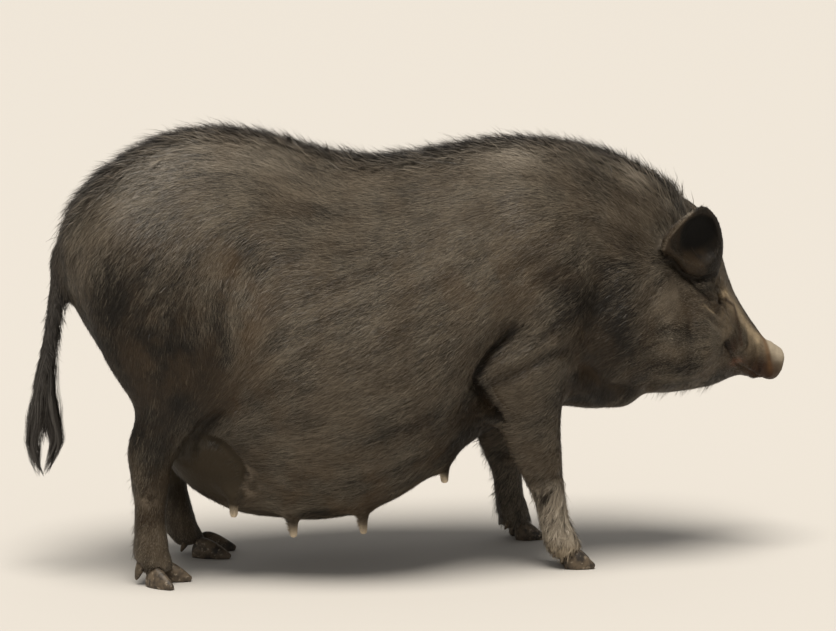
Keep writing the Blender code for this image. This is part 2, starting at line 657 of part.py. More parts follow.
def main():
    clear_scene()
    body = press_folds(grow_body())
    thin = body.modifiers.new("thin", "DECIMATE")
    triangles = sum(len(face.vertices) - 2 for face in body.data.polygons)
    thin.ratio = FLESH_TRIANGLES / triangles
    thin.use_collapse_triangulate = True
    body = evaluated(body, "body")

    apart = [build_disc()] + [seat_eye(body, side) for side in SIDES]
    for kind in SWINGS_FROM:
        for side in SIDES:
            apart += build_hooves(kind, side)
    for piece in apart:
        body = cut(body, swollen(copy_of(piece), GAP))
    for piece in (build_ear("right"), build_ear("left"), loft("tail", TAIL, sides=12, steps=2)):
        apart.append(cut(piece, swollen(copy_of(body), GAP)))
    tail, tuft = part_off(apart.pop(), "tail_tuft", below(TUFT_FROM))
    apart += [tail, tuft]

    pieces = part_body(body) + apart
    for piece in pieces:
        without_crumbs(piece)
        colour(piece)
    stand_on_origin(pieces)


main()
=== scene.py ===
import math
import bmesh
import bpy
import numpy as np
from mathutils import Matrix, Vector
from mathutils.bvhtree import BVHTree

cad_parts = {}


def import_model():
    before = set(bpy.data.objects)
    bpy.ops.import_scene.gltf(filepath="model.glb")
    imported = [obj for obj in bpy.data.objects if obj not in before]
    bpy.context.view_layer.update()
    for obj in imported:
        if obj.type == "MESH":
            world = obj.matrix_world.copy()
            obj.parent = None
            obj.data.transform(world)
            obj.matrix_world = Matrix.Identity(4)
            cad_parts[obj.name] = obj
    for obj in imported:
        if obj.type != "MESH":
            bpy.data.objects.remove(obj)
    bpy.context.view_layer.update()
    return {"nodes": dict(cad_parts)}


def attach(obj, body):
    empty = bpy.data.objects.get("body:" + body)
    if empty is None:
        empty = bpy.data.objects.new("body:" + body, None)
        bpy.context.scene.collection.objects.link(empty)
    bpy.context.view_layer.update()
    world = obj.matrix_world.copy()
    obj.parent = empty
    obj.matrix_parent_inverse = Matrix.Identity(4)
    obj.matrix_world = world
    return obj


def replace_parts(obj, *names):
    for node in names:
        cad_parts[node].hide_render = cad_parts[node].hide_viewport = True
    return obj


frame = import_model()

nodes = frame["nodes"]
scene = bpy.context.scene
draw = np.random.default_rng(7)
print("frame loaded:", len(nodes), "parts")


# The studio. The sow faces +X, and the camera stands off her right side.
studio = {
    "cameraPlace": (-0.7369, -4.2398, 1.0049),
    "cameraTurn": (81.76, 0, -10.0),
    "lens": 122.727,
    "sensor": 36,
    "floorHalf": 30.0,
    "floorHeight": -0.0004,
    "floorColor": (0.56, 0.53, 0.49, 1.0),
    "floorRoughness": 0.9,
    "skyColor": (1.0, 0.985, 0.955, 1.0),
    "skyStrength": 0.33,
    "sunFrom": (-0.10, -0.36, 1.30),
    "sunPower": 4.1,
    "sunSpread": 34.0,
    "sunColor": (1.0, 0.955, 0.88),
}


def added(name, data):
    piece = bpy.data.objects.new(name, data)
    scene.collection.objects.link(piece)
    return piece


def newMaterial(name, roughness, gloss=0.5):
    material = bpy.data.materials.new(name)
    material.use_nodes = True
    shader = material.node_tree.nodes["Principled BSDF"]
    shader.inputs["Roughness"].default_value = roughness
    shader.inputs["Specular IOR Level"].default_value = gloss
    return material, material.node_tree, shader


def makeStudio():
    camera = added("camera", bpy.data.cameras.new("camera"))
    camera.location = studio["cameraPlace"]
    camera.rotation_euler = [math.radians(turn) for turn in studio["cameraTurn"]]
    camera.data.lens = studio["lens"]
    camera.data.sensor_width = studio["sensor"]
    scene.camera = camera
    half = studio["floorHalf"]
    mesh = bpy.data.meshes.new("floor")
    mesh.from_pydata([(-half, -half, 0), (half, -half, 0), (half, half, 0), (-half, half, 0)], [], [(0, 1, 2, 3)])
    floor = added("floor", mesh)
    floor.location.z = studio["floorHeight"]
    paint, _, shader = newMaterial("paleFloor", studio["floorRoughness"])
    shader.inputs["Base Color"].default_value = studio["floorColor"]
    mesh.materials.append(paint)
    world = bpy.data.worlds.new("sky")
    world.use_nodes = True
    sky = world.node_tree.nodes["Background"]
    sky.inputs["Color"].default_value = studio["skyColor"]
    sky.inputs["Strength"].default_value = studio["skyStrength"]
    scene.world = world
    lamp = bpy.data.lights.new("sun", "SUN")
    lamp.energy = studio["sunPower"]
    lamp.angle = math.radians(studio["sunSpread"])
    lamp.color = studio["sunColor"]
    added("sun", lamp).rotation_euler = Vector(studio["sunFrom"]).to_track_quat("Z", "Y").to_euler()
    scene.view_settings.view_transform = "Standard"


makeStudio()
print("studio ready")


# Small tools for meshes held as arrays.
def fetched(items, fact, size, kind=np.float32):
    found = np.empty(len(items) * size, kind)
    items.foreach_get(fact, found)
    return found.reshape(-1, size)


def coordinates(mesh):
    return fetched(mesh.vertices, "co", 3).astype(float)


def normals(mesh):
    return fetched(mesh.vertices, "normal", 3).astype(float)


def place(mesh, points):
    mesh.vertices.foreach_set("co", points.astype(np.float32).ravel())
    mesh.update()


def record(mesh, facts):
    # One value of each fact for each vertex, where the materials find it.
    for fact, values in facts.items():
        mesh.attributes.new(fact, "FLOAT", "POINT").data.foreach_set("value", values.astype(np.float32))


def unwrapAt(mesh, spots):
    mesh.uv_layers.new(name="OFBake").uv.foreach_set("vector", spots.astype(np.float32).ravel())


def edgeLinks(mesh):
    start, end = fetched(mesh.edges, "vertices", 2, np.int32).T
    return np.concatenate([start, end]), np.concatenate([end, start])


def neighbourMean(values, links):
    start, end = links
    count = np.bincount(start, minlength=len(values)).clip(1)
    if values.ndim == 1:
        return np.bincount(start, values[end], len(values)) / count
    return np.stack([np.bincount(start, column[end], len(values)) / count for column in values.T], 1)


def softened(values, links, times):
    for _ in range(times):
        values = 0.5 * values + 0.5 * neighbourMean(values, links)
    return values


def lengthOf(vectors):
    return np.linalg.norm(vectors, axis=1)


def unit(vectors):
    return vectors / lengthOf(vectors)[:, None].clip(1e-9)


def bump(distance, reach):
    return np.exp(-((distance / reach) ** 2))


def ramp(values, low, high):
    share = ((values - low) / (high - low)).clip(0, 1)
    return share * share * (3 - 2 * share)


def fade(values, low, high):
    return 1 - ramp(values, low, high)


def foldedOver(places):
    # The same places with the right side mirrored onto the left.
    return np.column_stack([places[:, 0], np.abs(places[:, 1]), places[:, 2]])


def blobs(places, rows, power=1):
    # Each row has the middle and the reach along X, Y and Z, in millimetres, and the strength.
    total = np.zeros(len(places))
    for row in rows:
        middle, reach = np.array(row[:6]).reshape(2, 3) / 1000
        total += row[6] * np.exp(-(((places - middle) / reach) ** 2).sum(1) ** power)
    return total


def pathOffset(places, path):
    # Distance from a path of (X, Z) places in millimetres, and the side of it: above zero on the right.
    x, z = places[:, 0], places[:, 2]
    path = np.array(path) / 1000
    near, side = np.full(len(x), 9.0), np.zeros(len(x))
    for (ax, az), (bx, bz) in zip(path, path[1:]):
        dx, dz = bx - ax, bz - az
        share = (((x - ax) * dx + (z - az) * dz) / (dx * dx + dz * dz)).clip(0, 1)
        away = np.hypot(x - ax - share * dx, z - az - share * dz)
        turn = np.sign(dz * (x - ax) - dx * (z - az))
        side = np.where(away < near, turn, side)
        near = np.minimum(near, away)
    return near, side


# Each kind of flesh: the depth of its coat, its share of the smoothing, its blades of hair to the square metre, and
# their length.
flesh = {
    "trunk": (0.0038, 1.0, 640000, 0.0130),
    "neck": (0.0038, 1.0, 640000, 0.0125),
    "head": (0.0016, 0.30, 800000, 0.0062),
    "lower_jaw": (0.0022, 0.45, 700000, 0.0085),
    "snout_disc": (0.0, 0.01, 0, 0.004),
    "ear": (0.0006, 0.05, 600000, 0.0045),
    "tail": (0.003, 0.05, 500000, 0.014),
    "thigh": (0.003, 0.6, 640000, 0.0125),
    "foreleg": (0.0025, 0.5, 640000, 0.0115),
    "hindcannon": (0.0022, 0.25, 600000, 0.0075),
    "forecannon": (0.0022, 0.25, 600000, 0.0105),
    "hindfoot": (0.0012, 0.06, 600000, 0.0048),
    "forefoot": (0.0012, 0.06, 600000, 0.0070),
}
kinds = list(flesh)
notFlesh = ("eye", "hoof", "dewclaw", "tail_tuft")
fleshNodes = [name for name in nodes if not name.startswith(notFlesh)]

# The skin: every node of flesh made one surface, smoothed, drawn in by the depth of the coat.
skinPlan = {"grain": 0.0042, "overlap": 0.0007, "weld": 2e-5, "smoothing": 90}


def joinedFlesh():
    corners, faces, start = [], [], 0
    for name in sorted(fleshNodes):
        piece = bmesh.new()
        piece.from_mesh(nodes[name].data)
        bmesh.ops.remove_doubles(piece, verts=piece.verts, dist=skinPlan["weld"])
        piece.normal_update()
        corners += [tuple(v.co + v.normal * skinPlan["overlap"]) for v in piece.verts]
        faces += [[start + v.index for v in face.verts] for face in piece.faces]
        start += len(piece.verts)
        piece.free()
    mesh = bpy.data.meshes.new("flesh")
    mesh.from_pydata(corners, [], faces)
    return mesh


def applied(piece):
    made = bpy.data.meshes.new_from_object(piece.evaluated_get(bpy.context.evaluated_depsgraph_get()))
    piece.modifiers.clear()
    old = piece.data
    piece.data = made
    bpy.data.meshes.remove(old)


def largestPart(piece):
    bpy.ops.object.select_all(action="DESELECT")
    piece.select_set(True)
    bpy.context.view_layer.objects.active = piece
    bpy.ops.mesh.separate(type="LOOSE")
    parts = sorted(bpy.context.selected_objects, key=lambda part: -len(part.data.vertices))
    for part in parts[1:]:
        bpy.data.objects.remove(part)
    return parts[0]


def labelled(points):
    # The kind of flesh that each point is nearest to.
    corners, faces, owner, start = [], [], [], 0
    for name in sorted(fleshNodes):
        mesh = nodes[name].data
        corners += [v.co for v in mesh.vertices]
        faces += [[start + i for i in face.vertices] for face in mesh.polygons]
        owner += [next(i for i, kind in enumerate(kinds) if name.startswith(kind))] * len(mesh.polygons)
        start += len(mesh.vertices)
    tree = BVHTree.FromPolygons(corners, faces)
    return np.array([owner[tree.find_nearest(point)[2]] for point in points.tolist()])


def perKind(labels, column, links, times=6):
    values = np.array([facts[column] for facts in flesh.values()])[labels]
    return softened(values, links, times)


def relaxed(values, links, share, times):
    for _ in range(times):
        values = values + (0.5 * share)[:, None] * (neighbourMean(values, links) - values)
    return values


def evened(points, links, share, times):
    # Takes out facets, then gives back the size that this costs.
    smooth = relaxed(points, links, share, times)
    return smooth + relaxed(points - smooth, links, share, times)


def refined(piece, chosen):
    shape = bmesh.new()
    shape.from_mesh(piece.data)
    shape.verts.ensure_lookup_table()
    faces = [face for face in shape.faces if all(chosen[v.index] for v in face.verts)]
    edges = list({edge for face in faces for edge in face.edges})
    bmesh.ops.subdivide_edges(shape, edges=edges, cuts=1, use_grid_fill=True)
    shape.to_mesh(piece.data)
    shape.free()


# The teats: each pair's roots and length, and their form: how far out and down the skin goes for shares of the reach.
teats = {
    "roots": [(-0.2854, 0.098, 0.125, 0.025), (-0.1944, 0.085, 0.092, 0.029), (-0.0884, 0.085, 0.095, 0.031),
              (0.0366, 0.080, 0.159, 0.022)],
    "heights": (-0.05, 0.012),
    "reach": 0.0125,
    "lean": 0.004,
    "shares": (0.0, 0.16, 0.30, 0.42, 0.54, 0.68, 0.84, 1.0),
    "out": (0.0, 0.0026, 0.0046, 0.0058, 0.0064, 0.0074, 0.0094, 0.0125),
    "down": (1.0, 0.985, 0.93, 0.78, 0.52, 0.24, 0.07, 0.0),
}


def teatsNear(points):
    # How far each point of the belly is from the middle of the nearest teat, and which that is.
    away = np.full((len(teats["roots"]), len(points)), 1.0)
    below, above = teats["heights"]
    for row, (x, y, z, length) in zip(away, teats["roots"]):
        near = (points[:, 2] < z + above) & (points[:, 2] > z + below)
        row[near] = np.hypot(points[near, 0] - x, np.abs(points[near, 1]) - y)
    return away.min(0), away.argmin(0)


def withTeats(points):
    # The old ones, worn down by the smoothing, are levelled and grown anew.
    away, which = teatsNear(points)
    x, y, z, length = np.array(teats["roots"])[which].T
    share = away / teats["reach"]
    turn = np.column_stack([points[:, 0] - x, np.abs(points[:, 1]) - y]) / away[:, None].clip(1e-6)
    out = np.interp(share, teats["shares"], teats["out"])
    down = np.interp(share, teats["shares"], teats["down"])
    grown = points.copy()
    grown[:, 0] = x + turn[:, 0] * out
    grown[:, 1] = (y + teats["lean"] * down + turn[:, 1] * out) * np.sign(points[:, 1])
    blend = ramp(share, 0.5, 1.0)
    grown[:, 2] = z * (1 - blend) + points[:, 2] * blend - length * down
    return np.where((away < teats["reach"])[:, None], grown, points)


def makeSkin():
    skin = added("skin", joinedFlesh())
    remesh = skin.modifiers.new("oneSurface", "REMESH")
    remesh.mode = "VOXEL"
    remesh.voxel_size = skinPlan["grain"]
    applied(skin)
    skin = largestPart(skin)
    skin.name = "skin"
    skin.data.name = "skin"
    points = coordinates(skin.data)
    links = edgeLinks(skin.data)
    share = perKind(labelled(points), 1, links)
    place(skin.data, evened(points, links, share, skinPlan["smoothing"]))
    print("skin surface:", len(skin.data.vertices), "vertices")
    return skin


skin = makeSkin()

# Where the skin is refined: ahead of a place, below a height, near the eyes and the snout, and round the teats.
fine = {
    "ahead": 0.33,
    "below": 0.06,
    "eye": ((0.4597, 0.0742, 0.402), 0.034),
    "snout": ((0.566, 0.0, 0.293), 0.042),
    "teats": (0.022, 0.015, 0.0125),
}
for step, teatReach in enumerate(fine["teats"]):
    points = coordinates(skin.data)
    chosen = teatsNear(points)[0] < teatReach
    if step == 0:
        chosen |= (points[:, 0] > fine["ahead"]) | (points[:, 2] < fine["below"])
    if step == 1:
        for places, (middle, reach) in ((foldedOver(points), fine["eye"]), (points, fine["snout"])):
            chosen |= lengthOf(places - middle) < reach
    refined(skin, chosen)
points = coordinates(skin.data)
links = edgeLinks(skin.data)
labels = labelled(points)
points = points + 0.5 * (neighbourMean(points, links) - points)
place(skin.data, points)
teatAway = teatsNear(points)[0]
teatShare = fade(teatAway, 0.0065, 0.0120)
print("skin refined:", len(points), "vertices")

# The coat is deepest along the ridge of the back.
ridge = {
    "halfWidth": 0.034,
    "depth": 0.009,
    "facingUp": (0.15, 0.6),
    "above": (0.42, 0.5),
    "fadeBack": (-0.54, -0.44),
    "fadeFront": (0.38, 0.44),
}
outward = normals(skin.data)
depth = perKind(labels, 0, links, 8)
ridgeShare = bump(points[:, 1], ridge["halfWidth"]) * ramp(outward[:, 2], *ridge["facingUp"])
ridgeShare = ridgeShare * ramp(points[:, 2], *ridge["above"])
ridgeShare *= ramp(points[:, 0], *ridge["fadeBack"]) * fade(points[:, 0], *ridge["fadeFront"])
ridgeShare = softened(ridgeShare, links, 4)
depth = depth + ridge["depth"] * ridgeShare
points = withTeats(points - outward * depth[:, None])
place(skin.data, points)
points = coordinates(skin.data)
outward = normals(skin.data)
print("skin drawn in under the coat")


# Folds on both sides. In millimetres: width, depth, the lips ahead or below and behind or above, how far out they
# start, the taper of their ends, and the path as (X, Z) places.
folds = {
    "elbow": (6.2, 13, 1, 2, 100, 35, [(134, 390), (110, 364), (93, 348), (81, 332), (71, 314), (76, 298),
        (85, 288), (98, 265), (113, 247), (126, 225)]),
    "armpit": (5.5, 7, 2, 1, 100, 22, [(71, 314), (66, 300), (55, 282), (44, 260)]),
    "neckValley": (26, 9, 2, 3, 80, 50, [(262, 500), (270, 430), (258, 381), (246, 330)]),
    "jowl": (12, 9, 5, 1, 50, 40, [(244, 340), (254, 308), (282, 280), (318, 271), (345, 276)]),
    "flank": (8, 8, 1, 2, 60, 30, [(-290, 284), (-305, 272), (-331, 251), (-348, 223), (-354, 190)]),
    "udder": (6, 6, 2.5, 0, 60, 18, [(-335, 238), (-320, 230), (-302, 221), (-287, 204), (-274, 187),
        (-270, 175), (-270, 150)]),
    "shoulder": (22, 3, 0, 1, 100, 40, [(100, 480), (150, 460), (190, 420), (200, 360)]),
    "forearm": (10, 4.5, 1.5, 2, 100, 35, [(100, 303), (135, 319), (172, 339), (222, 350)]),
    "cheek": (14, 7.5, 1.5, 3, 60, 30, [(398, 430), (408, 385), (411, 335)]),
    "knee": (6, 2.5, 1.2, 0, 60, 12, [(160, 145.5), (183, 148), (214, 148), (235, 146)]),
    "earBase": (5, 7, 1, 2, 60, 12, [(366, 480), (380, 468), (400, 450), (424, 441), (446, 444)]),
    "temple": (3.6, 4.2, 1, 1.8, 50, 12, [(405, 446), (429, 423), (446, 406), (452, 400)]),
    "underEye": (4, 3.2, 1, 1.5, 40, 10, [(432, 402), (448, 392), (462, 384)]),
    "cheekLine": (4.5, 2.2, 1, 1, 40, 12, [(428, 388), (446, 374), (466, 360)]),
    "muzzle": (5, 4.5, 1.8, 2, 30, 15, [(472, 400), (486, 380), (500, 356), (507, 334)]),
    "mouth": (2.8, 3.4, 1.2, 1.6, 12, 6, [(476, 342), (484, 325), (500, 303), (526, 287), (546, 274)]),
    "nostrilWing": (4.5, 2.4, 1, 1, 12, 12, [(538, 334), (541, 312), (538, 288)]),
    "noseWrinkle": (4.5, 1.8, 0.8, 0.8, 12, 12, [(518, 352), (524, 334), (520, 314)]),
}
dents = [
    (-266, 170, 475, 55, 100, 55, 0.008),
    (-345, 165, 372, 50, 80, 50, 0.007),
    (477, 85, 338, 9, 20, 8, 0.005),
    (245, 150, 300, 30, 60, 30, 0.006),
]


def pressed(points, outward):
    shift = np.zeros(len(points))
    folded = foldedOver(points)
    flat = np.abs(outward[:, 1])
    for *sizes, path in folds.values():
        width, depth, ahead, behind, start, taper = np.array(sizes) / 1000
        away, side = pathOffset(points, path)
        reach = ramp(folded[:, 1], start - 0.01, start + 0.01) * ramp(flat, 0.1, 0.35)
        for x, z in np.array([path[0], path[-1]]) / 1000:
            reach *= ramp(np.hypot(points[:, 0] - x, points[:, 2] - z), 0, taper)
        shift -= depth * bump(away, width) * reach
        lip = bump(away - 1.9 * width, width * 0.9) * reach
        shift += lip * np.where(side > 0, ahead, behind)
    for dent in dents:
        shift -= blobs(folded, [dent])
    return points + outward * shift[:, None]


# The eyes: a slanted opening, lids, a heavy brow, a bag below, and wrinkles behind.
eyes = {
    "middle": (0.4597, 0.0742, 0.4020),
    "facing": (0.46, 0.83, 0.30),
    "slant": (0.60, 0.0, -0.75),
    "opening": (0.0085, 0.0046),
    "upperLid": 0.0012,
    "lid": 0.0024,
    "crease": 0.0022,
    "brow": (0.0045, 1.6, 0.017, 0.0085),  # height, how drawn out, how far above, reach
    "bag": (0.0022, 1.5, -0.014, 0.007),
    "sunk": 0.0075,
    "wrinkles": (0.0016, 11),
    "ballRadius": 0.0108,
    "ballDepth": 0.0105,
}


def eyeAxes():
    facing = Vector(eyes["facing"]).normalized()
    slant = Vector(eyes["slant"])
    slant = (slant - facing * slant.dot(facing)).normalized()
    rise = facing.cross(slant)
    return np.array(slant), np.array(rise * (1 if rise.z > 0 else -1)), np.array(facing)


def withLids(points):
    slant, rise, facing = eyeAxes()
    local = foldedOver(points) - eyes["middle"]
    a, b, c = local @ slant, local @ rise, local @ facing
    near = ramp(-lengthOf(local), -0.045, -0.03) * ramp(c, -0.02, -0.006)
    wide, tall = eyes["opening"]
    ring = np.hypot(a / wide, b / (tall + eyes["upperLid"] * (b > 0)))
    shift = -eyes["sunk"] * fade(ring, 0.75, 1.25)
    shift += eyes["lid"] * bump(ring - 1.75, 0.55)
    shift -= eyes["crease"] * bump(np.hypot(a / wide, b / tall) - 3.0, 0.55) * ramp(b, -0.002, 0.004)
    for height, drawnOut, above, reach in (eyes["brow"], eyes["bag"]):
        shift += height * bump(np.hypot(a / drawnOut, b - above), reach)
    height, rays = eyes["wrinkles"]
    shift += height * (np.cos(np.arctan2(b, -a) * rays) * bump(ring - 4.2, 1.5) * ramp(-a, -0.004, 0.008))
    mirrored = np.where(points[:, 1:2] < 0, (1, -1, 1), (1, 1, 1))
    return points + facing * mirrored * (shift * near)[:, None]


# The snout disc: a raised rim, a dished face with two nostrils and a groove between them.
disc = {
    "middle": (0.5713, 0.0, 0.2935),
    "up": np.array((0.296, 0.0, 0.955)),
    "facing": np.array((0.955, 0.0, -0.296)),
    "half": (0.030, 0.0255),
    "nostril": {"out": 0.0128, "up": 0.0005, "half": (0.0056, 0.0082), "depth": 0.011, "rim": 0.0012},
    "rim": 0.0016,
    "dish": 0.0018,
    "groove": (0.0010, 0.0022),
    "neck": (0.0120, 0.0070, -0.0022),  # how far behind the face, how wide, how high
    "flare": (0.0010, 0.0040, 0.0012),
    "brow": (0.0090, 0.0100, 0.0055),
}


def withNostrils(points, outward):
    local = points - disc["middle"]
    v, c = local @ disc["up"], local @ disc["facing"]
    y = points[:, 1]
    front = ramp(c, 0.0, 0.004)
    edge = np.hypot(y / disc["half"][0], v / disc["half"][1])
    hole = disc["nostril"]
    ring = np.hypot((np.abs(y) - hole["out"] - 0.12 * v) / hole["half"][0], (v - hole["up"]) / hole["half"][1])
    shift = disc["rim"] * bump(edge - 0.86, 0.14) - disc["dish"] * fade(edge, 0.3, 0.8)
    shift -= hole["depth"] * fade(ring, 0.45, 1.15)
    shift += hole["rim"] * bump(ring - 1.45, 0.35)
    depth, width = disc["groove"]
    shift -= depth * bump(y, width) * fade(edge, 0.7, 1.0)
    # The muzzle narrows behind the disc, its rim flares, and its top stands as high as the bridge.
    near = fade(np.hypot(y, v), 0.040, 0.048)
    neck, flare, brow = (height * bump(c + behind, width)
                         for behind, width, height in (disc["neck"], disc["flare"], disc["brow"]))
    waist = (neck + flare) * fade(v, 0.004, 0.014) * near
    lifted = ramp(v, 0.003, 0.018) * brow * near
    moved = points + disc["facing"] * (shift * front)[:, None]
    return moved + outward * waist[:, None] + disc["up"] * lifted[:, None]


# The cup of each ear, deepened behind its rim.
earCup = {"depth": 0.0055, "where": (421, 104, 512, 35, 36, 33, 1)}
facingOut = outward[:, 1] * np.sign(points[:, 1])
inCup = blobs(foldedOver(points), [earCup["where"]], 2)
inCup *= (labels == kinds.index("ear")) * ramp(facingOut, 0.0, 0.3)
inCup = softened(inCup, links, 3)
points = points - outward * (earCup["depth"] * inCup)[:, None]
points = pressed(points, outward)
points = withLids(points)
points = withNostrils(points, outward)
place(skin.data, points)
outward = normals(skin.data)
print("folds, lids and nostrils pressed")


# The lie of the coat: (X, Z) in centimetres, and where the hair points, in degrees: 180 is back, 270 is down.
lie = {
    "reach": 0.055,
    "strokes": np.array([
        (-32, 66, 172), (-25, 65, 152), (-38, 67, 190), (-44, 63, 212), (-49, 58, 232), (-51, 52, 248),
        (-50, 46, 262), (-32, 59, 200), (-28, 56, 182), (-21, 62, 147), (-17, 57, 147), (-16, 52, 160),
        (-38, 52, 230), (-30, 51, 238), (-41, 46, 232), (-27, 46, 258), (-21, 48, 190), (-17, 43, 205),
        (-13, 64, 158), (-10, 58, 176), (-13, 53, 178), (0, 57, 200), (-6, 60, 186), (-10, 49, 208),
        (0, 49, 210), (9, 54, 210), (6, 61, 195), (14, 63, 152), (21, 62, 142), (19, 55, 205), (18, 48, 208),
        (0, 42, 206), (12, 41, 212), (-19, 31, 205), (-10, 24, 200), (-21, 22, 190), (-19, 16, 185),
        (-5, 17, 190), (-30, 32, 225), (-39, 35, 262), (-34, 37, 285), (-40, 24, 255), (-42, 12, 255),
        (-36, 12, 262), (9, 36, 216), (17, 35, 212), (16, 27, 196), (17, 20, 205), (20, 10, 242), (24, 4, 250),
        (30, 25, 262), (33, 52, 150), (32, 41, 215), (37, 43, 225), (35, 34, 190), (41, 30, 200), (36, 26, 190),
        (44, 38, 170), (50, 36, 150), (49, 42, 140), (43, 36, 190), (41, 50, 100), (52, 30, 170), (-55, 35, 272),
        (-56, 20, 272),
    ]),
}


def combed(places, facing):
    # The way the hair points at each place.
    found = np.zeros((len(places), 3))
    for x, z, turn in lie["strokes"] / (100, 100, 1):
        away = ((places[:, 0] - x) ** 2 + (places[:, 2] - z) ** 2) / lie["reach"] ** 2
        weight = np.exp(-away) + 1e-4 / (1 + away * away)
        found[:, 0] += weight * np.cos(np.radians(turn))
        found[:, 2] += weight * np.sin(np.radians(turn))
    found = unit(found)
    found -= (found * facing).sum(1)[:, None] * facing
    return unit(found)


def grainNoise(places, cell, seed):
    # Smooth random values between 0 and 1.
    spots = places / cell
    base = np.floor(spots).astype(np.int64)
    share = spots - base
    share = share * share * (3 - 2 * share)
    total = np.zeros(len(places))
    for corner in range(8):
        step = np.array([corner & 1, corner >> 1 & 1, corner >> 2 & 1])
        key = ((base + step) * (73856093, 19349663, 83492791)).sum(1) + seed * 1013
        key = (key ^ (key >> 13)) * 1274126177 & 0x7FFFFFFF
        key = (key ^ (key >> 16)) * 668265263 & 0x7FFFFFFF
        total += np.where(step, share, 1 - share).prod(1) * (key & 0xFFFF) / 65535
    return total


def streaks(places, facing, cell, length, seed):
    # Noise drawn out along the lie of the coat.
    total = np.zeros(len(places))
    for sign in (-1, 1):
        spot = places.copy()
        for _ in range(5):
            spot += sign * combed(spot, facing) * length / 10
            total += grainNoise(spot, cell, seed)
    total = total / 10 - 0.5
    return total / total.std()


def clumps(roots, along, cell, length, seed):
    # The same for many roots at once, taken straight along the lie.
    steps = (-0.5, -0.25, 0, 0.25, 0.5)
    total = sum(grainNoise(roots + along * length * step, cell, seed) for step in steps) / len(steps) - 0.5
    return total / total.std()


# Blades of hair. Sway and roll are in degrees.
coat = {
    "width": 0.00078,
    "lift": 0.0014,
    "sunk": 0.0006,
    "sway": 9,
    "roll": 16,
    "mostTriangles": 1240000,
    "quickShare": 0.3,
    "batch": 190000,
    "patch": 0.003,
}
bare = {
    "udder": [(-313, 108, 162, 47, 90, 63, 1), (-356, 53, 155, 22, 45, 40, 1)],
    "floor": (0.006, 0.014),
    "muzzle": (0.545, 0.556),
    "eye": 0.013,
}
folded = foldedOver(points)
height = points[:, 2]


def kindShare(*names):
    return softened(np.isin(labels, [kinds.index(name) for name in names]).astype(float), links, 2)


lengths = perKind(labels, 3, links, 8) * (1 - 0.65 * bump(teatAway, 0.013))
density = perKind(labels, 2, links, 6) * (1 - teatShare) * fade(inCup, 0.03, 0.2)
density *= (ramp(height, *bare["floor"]) * (1 - 0.9 * bump(lengthOf(folded - eyes["middle"]), bare["eye"]))
            * (1 - 0.97 * ramp(points[:, 0], *bare["muzzle"]))
            * (1 - 0.98 * ramp(blobs(folded, bare["udder"], 2), 0.2, 0.7)))

skin.data.calc_loop_triangles()
triangles = fetched(skin.data.loop_triangles, "vertices", 3, np.int32)
skinTree = BVHTree.FromPolygons(points.tolist(), triangles.tolist())


def onSkin(places):
    found = [skinTree.find_nearest(spot) for spot in places.tolist()]
    index = np.array([hit[2] for hit in found])
    return np.array([hit[0] for hit in found]), unit(outward[triangles[index]].sum(1))


corners = points[triangles]
triangleArea = lengthOf(np.cross(corners[:, 1] - corners[:, 0], corners[:, 2] - corners[:, 0])) / 2


def scatter(density):
    # Random roots on the skin: for each, its triangle and its share of the triangle's corners.
    wanted = triangleArea * density[triangles].mean(1)
    count = np.floor(wanted + draw.random(len(wanted))).astype(int)
    chosen = np.repeat(np.arange(len(count)), count)
    share = draw.random((len(chosen), 2))
    share = np.where(share.sum(1, keepdims=True) > 1, 1 - share, share)
    return chosen, np.column_stack([share, 1 - share.sum(1)])


def atRoots(values, chosen, share):
    picked = values[triangles[chosen]]
    return (picked * (share if picked.ndim == 2 else share[:, :, None])).sum(1)


def makeBlades(name, corners, faces, places, stretch, rise, facts):
    # A piece of hair. For each blade: its corners, its place on the unwrap, and its facts. For all of them: the
    # faces, how they lie on the unwrap, and how far up each corner is.
    count, each = corners.shape[:2]
    mesh = bpy.data.meshes.new(name)
    mesh.vertices.add(count * each)
    mesh.vertices.foreach_set("co", corners.astype(np.float32).ravel())
    first = np.arange(count, dtype=np.int32)[:, None]
    loops = (first * each + np.concatenate(faces)).astype(np.int32).ravel()
    starts = np.cumsum([0] + [len(face) for face in faces])
    mesh.loops.add(len(loops))
    mesh.loops.foreach_set("vertex_index", loops)
    mesh.polygons.add(count * len(faces))
    mesh.polygons.foreach_set("loop_start", (first * starts[-1] + starts[:-1]).astype(np.int32).ravel())
    mesh.polygons.foreach_set("use_smooth", np.ones(count * len(faces), bool))
    mesh.update(calc_edges=True)
    mesh.validate()
    spots = places[:, None] + coat["patch"] * (stretch - 0.5)
    unwrapAt(mesh, spots.reshape(-1, 2)[loops])
    record(mesh, {fact: np.repeat(values, each) for fact, values in facts.items()})
    record(mesh, {"rise": np.tile(rise, count)})
    mesh.materials.append(hair)
    piece = added(name, mesh)
    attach(piece, "root")
    print(name, "blades:", count)
    return piece


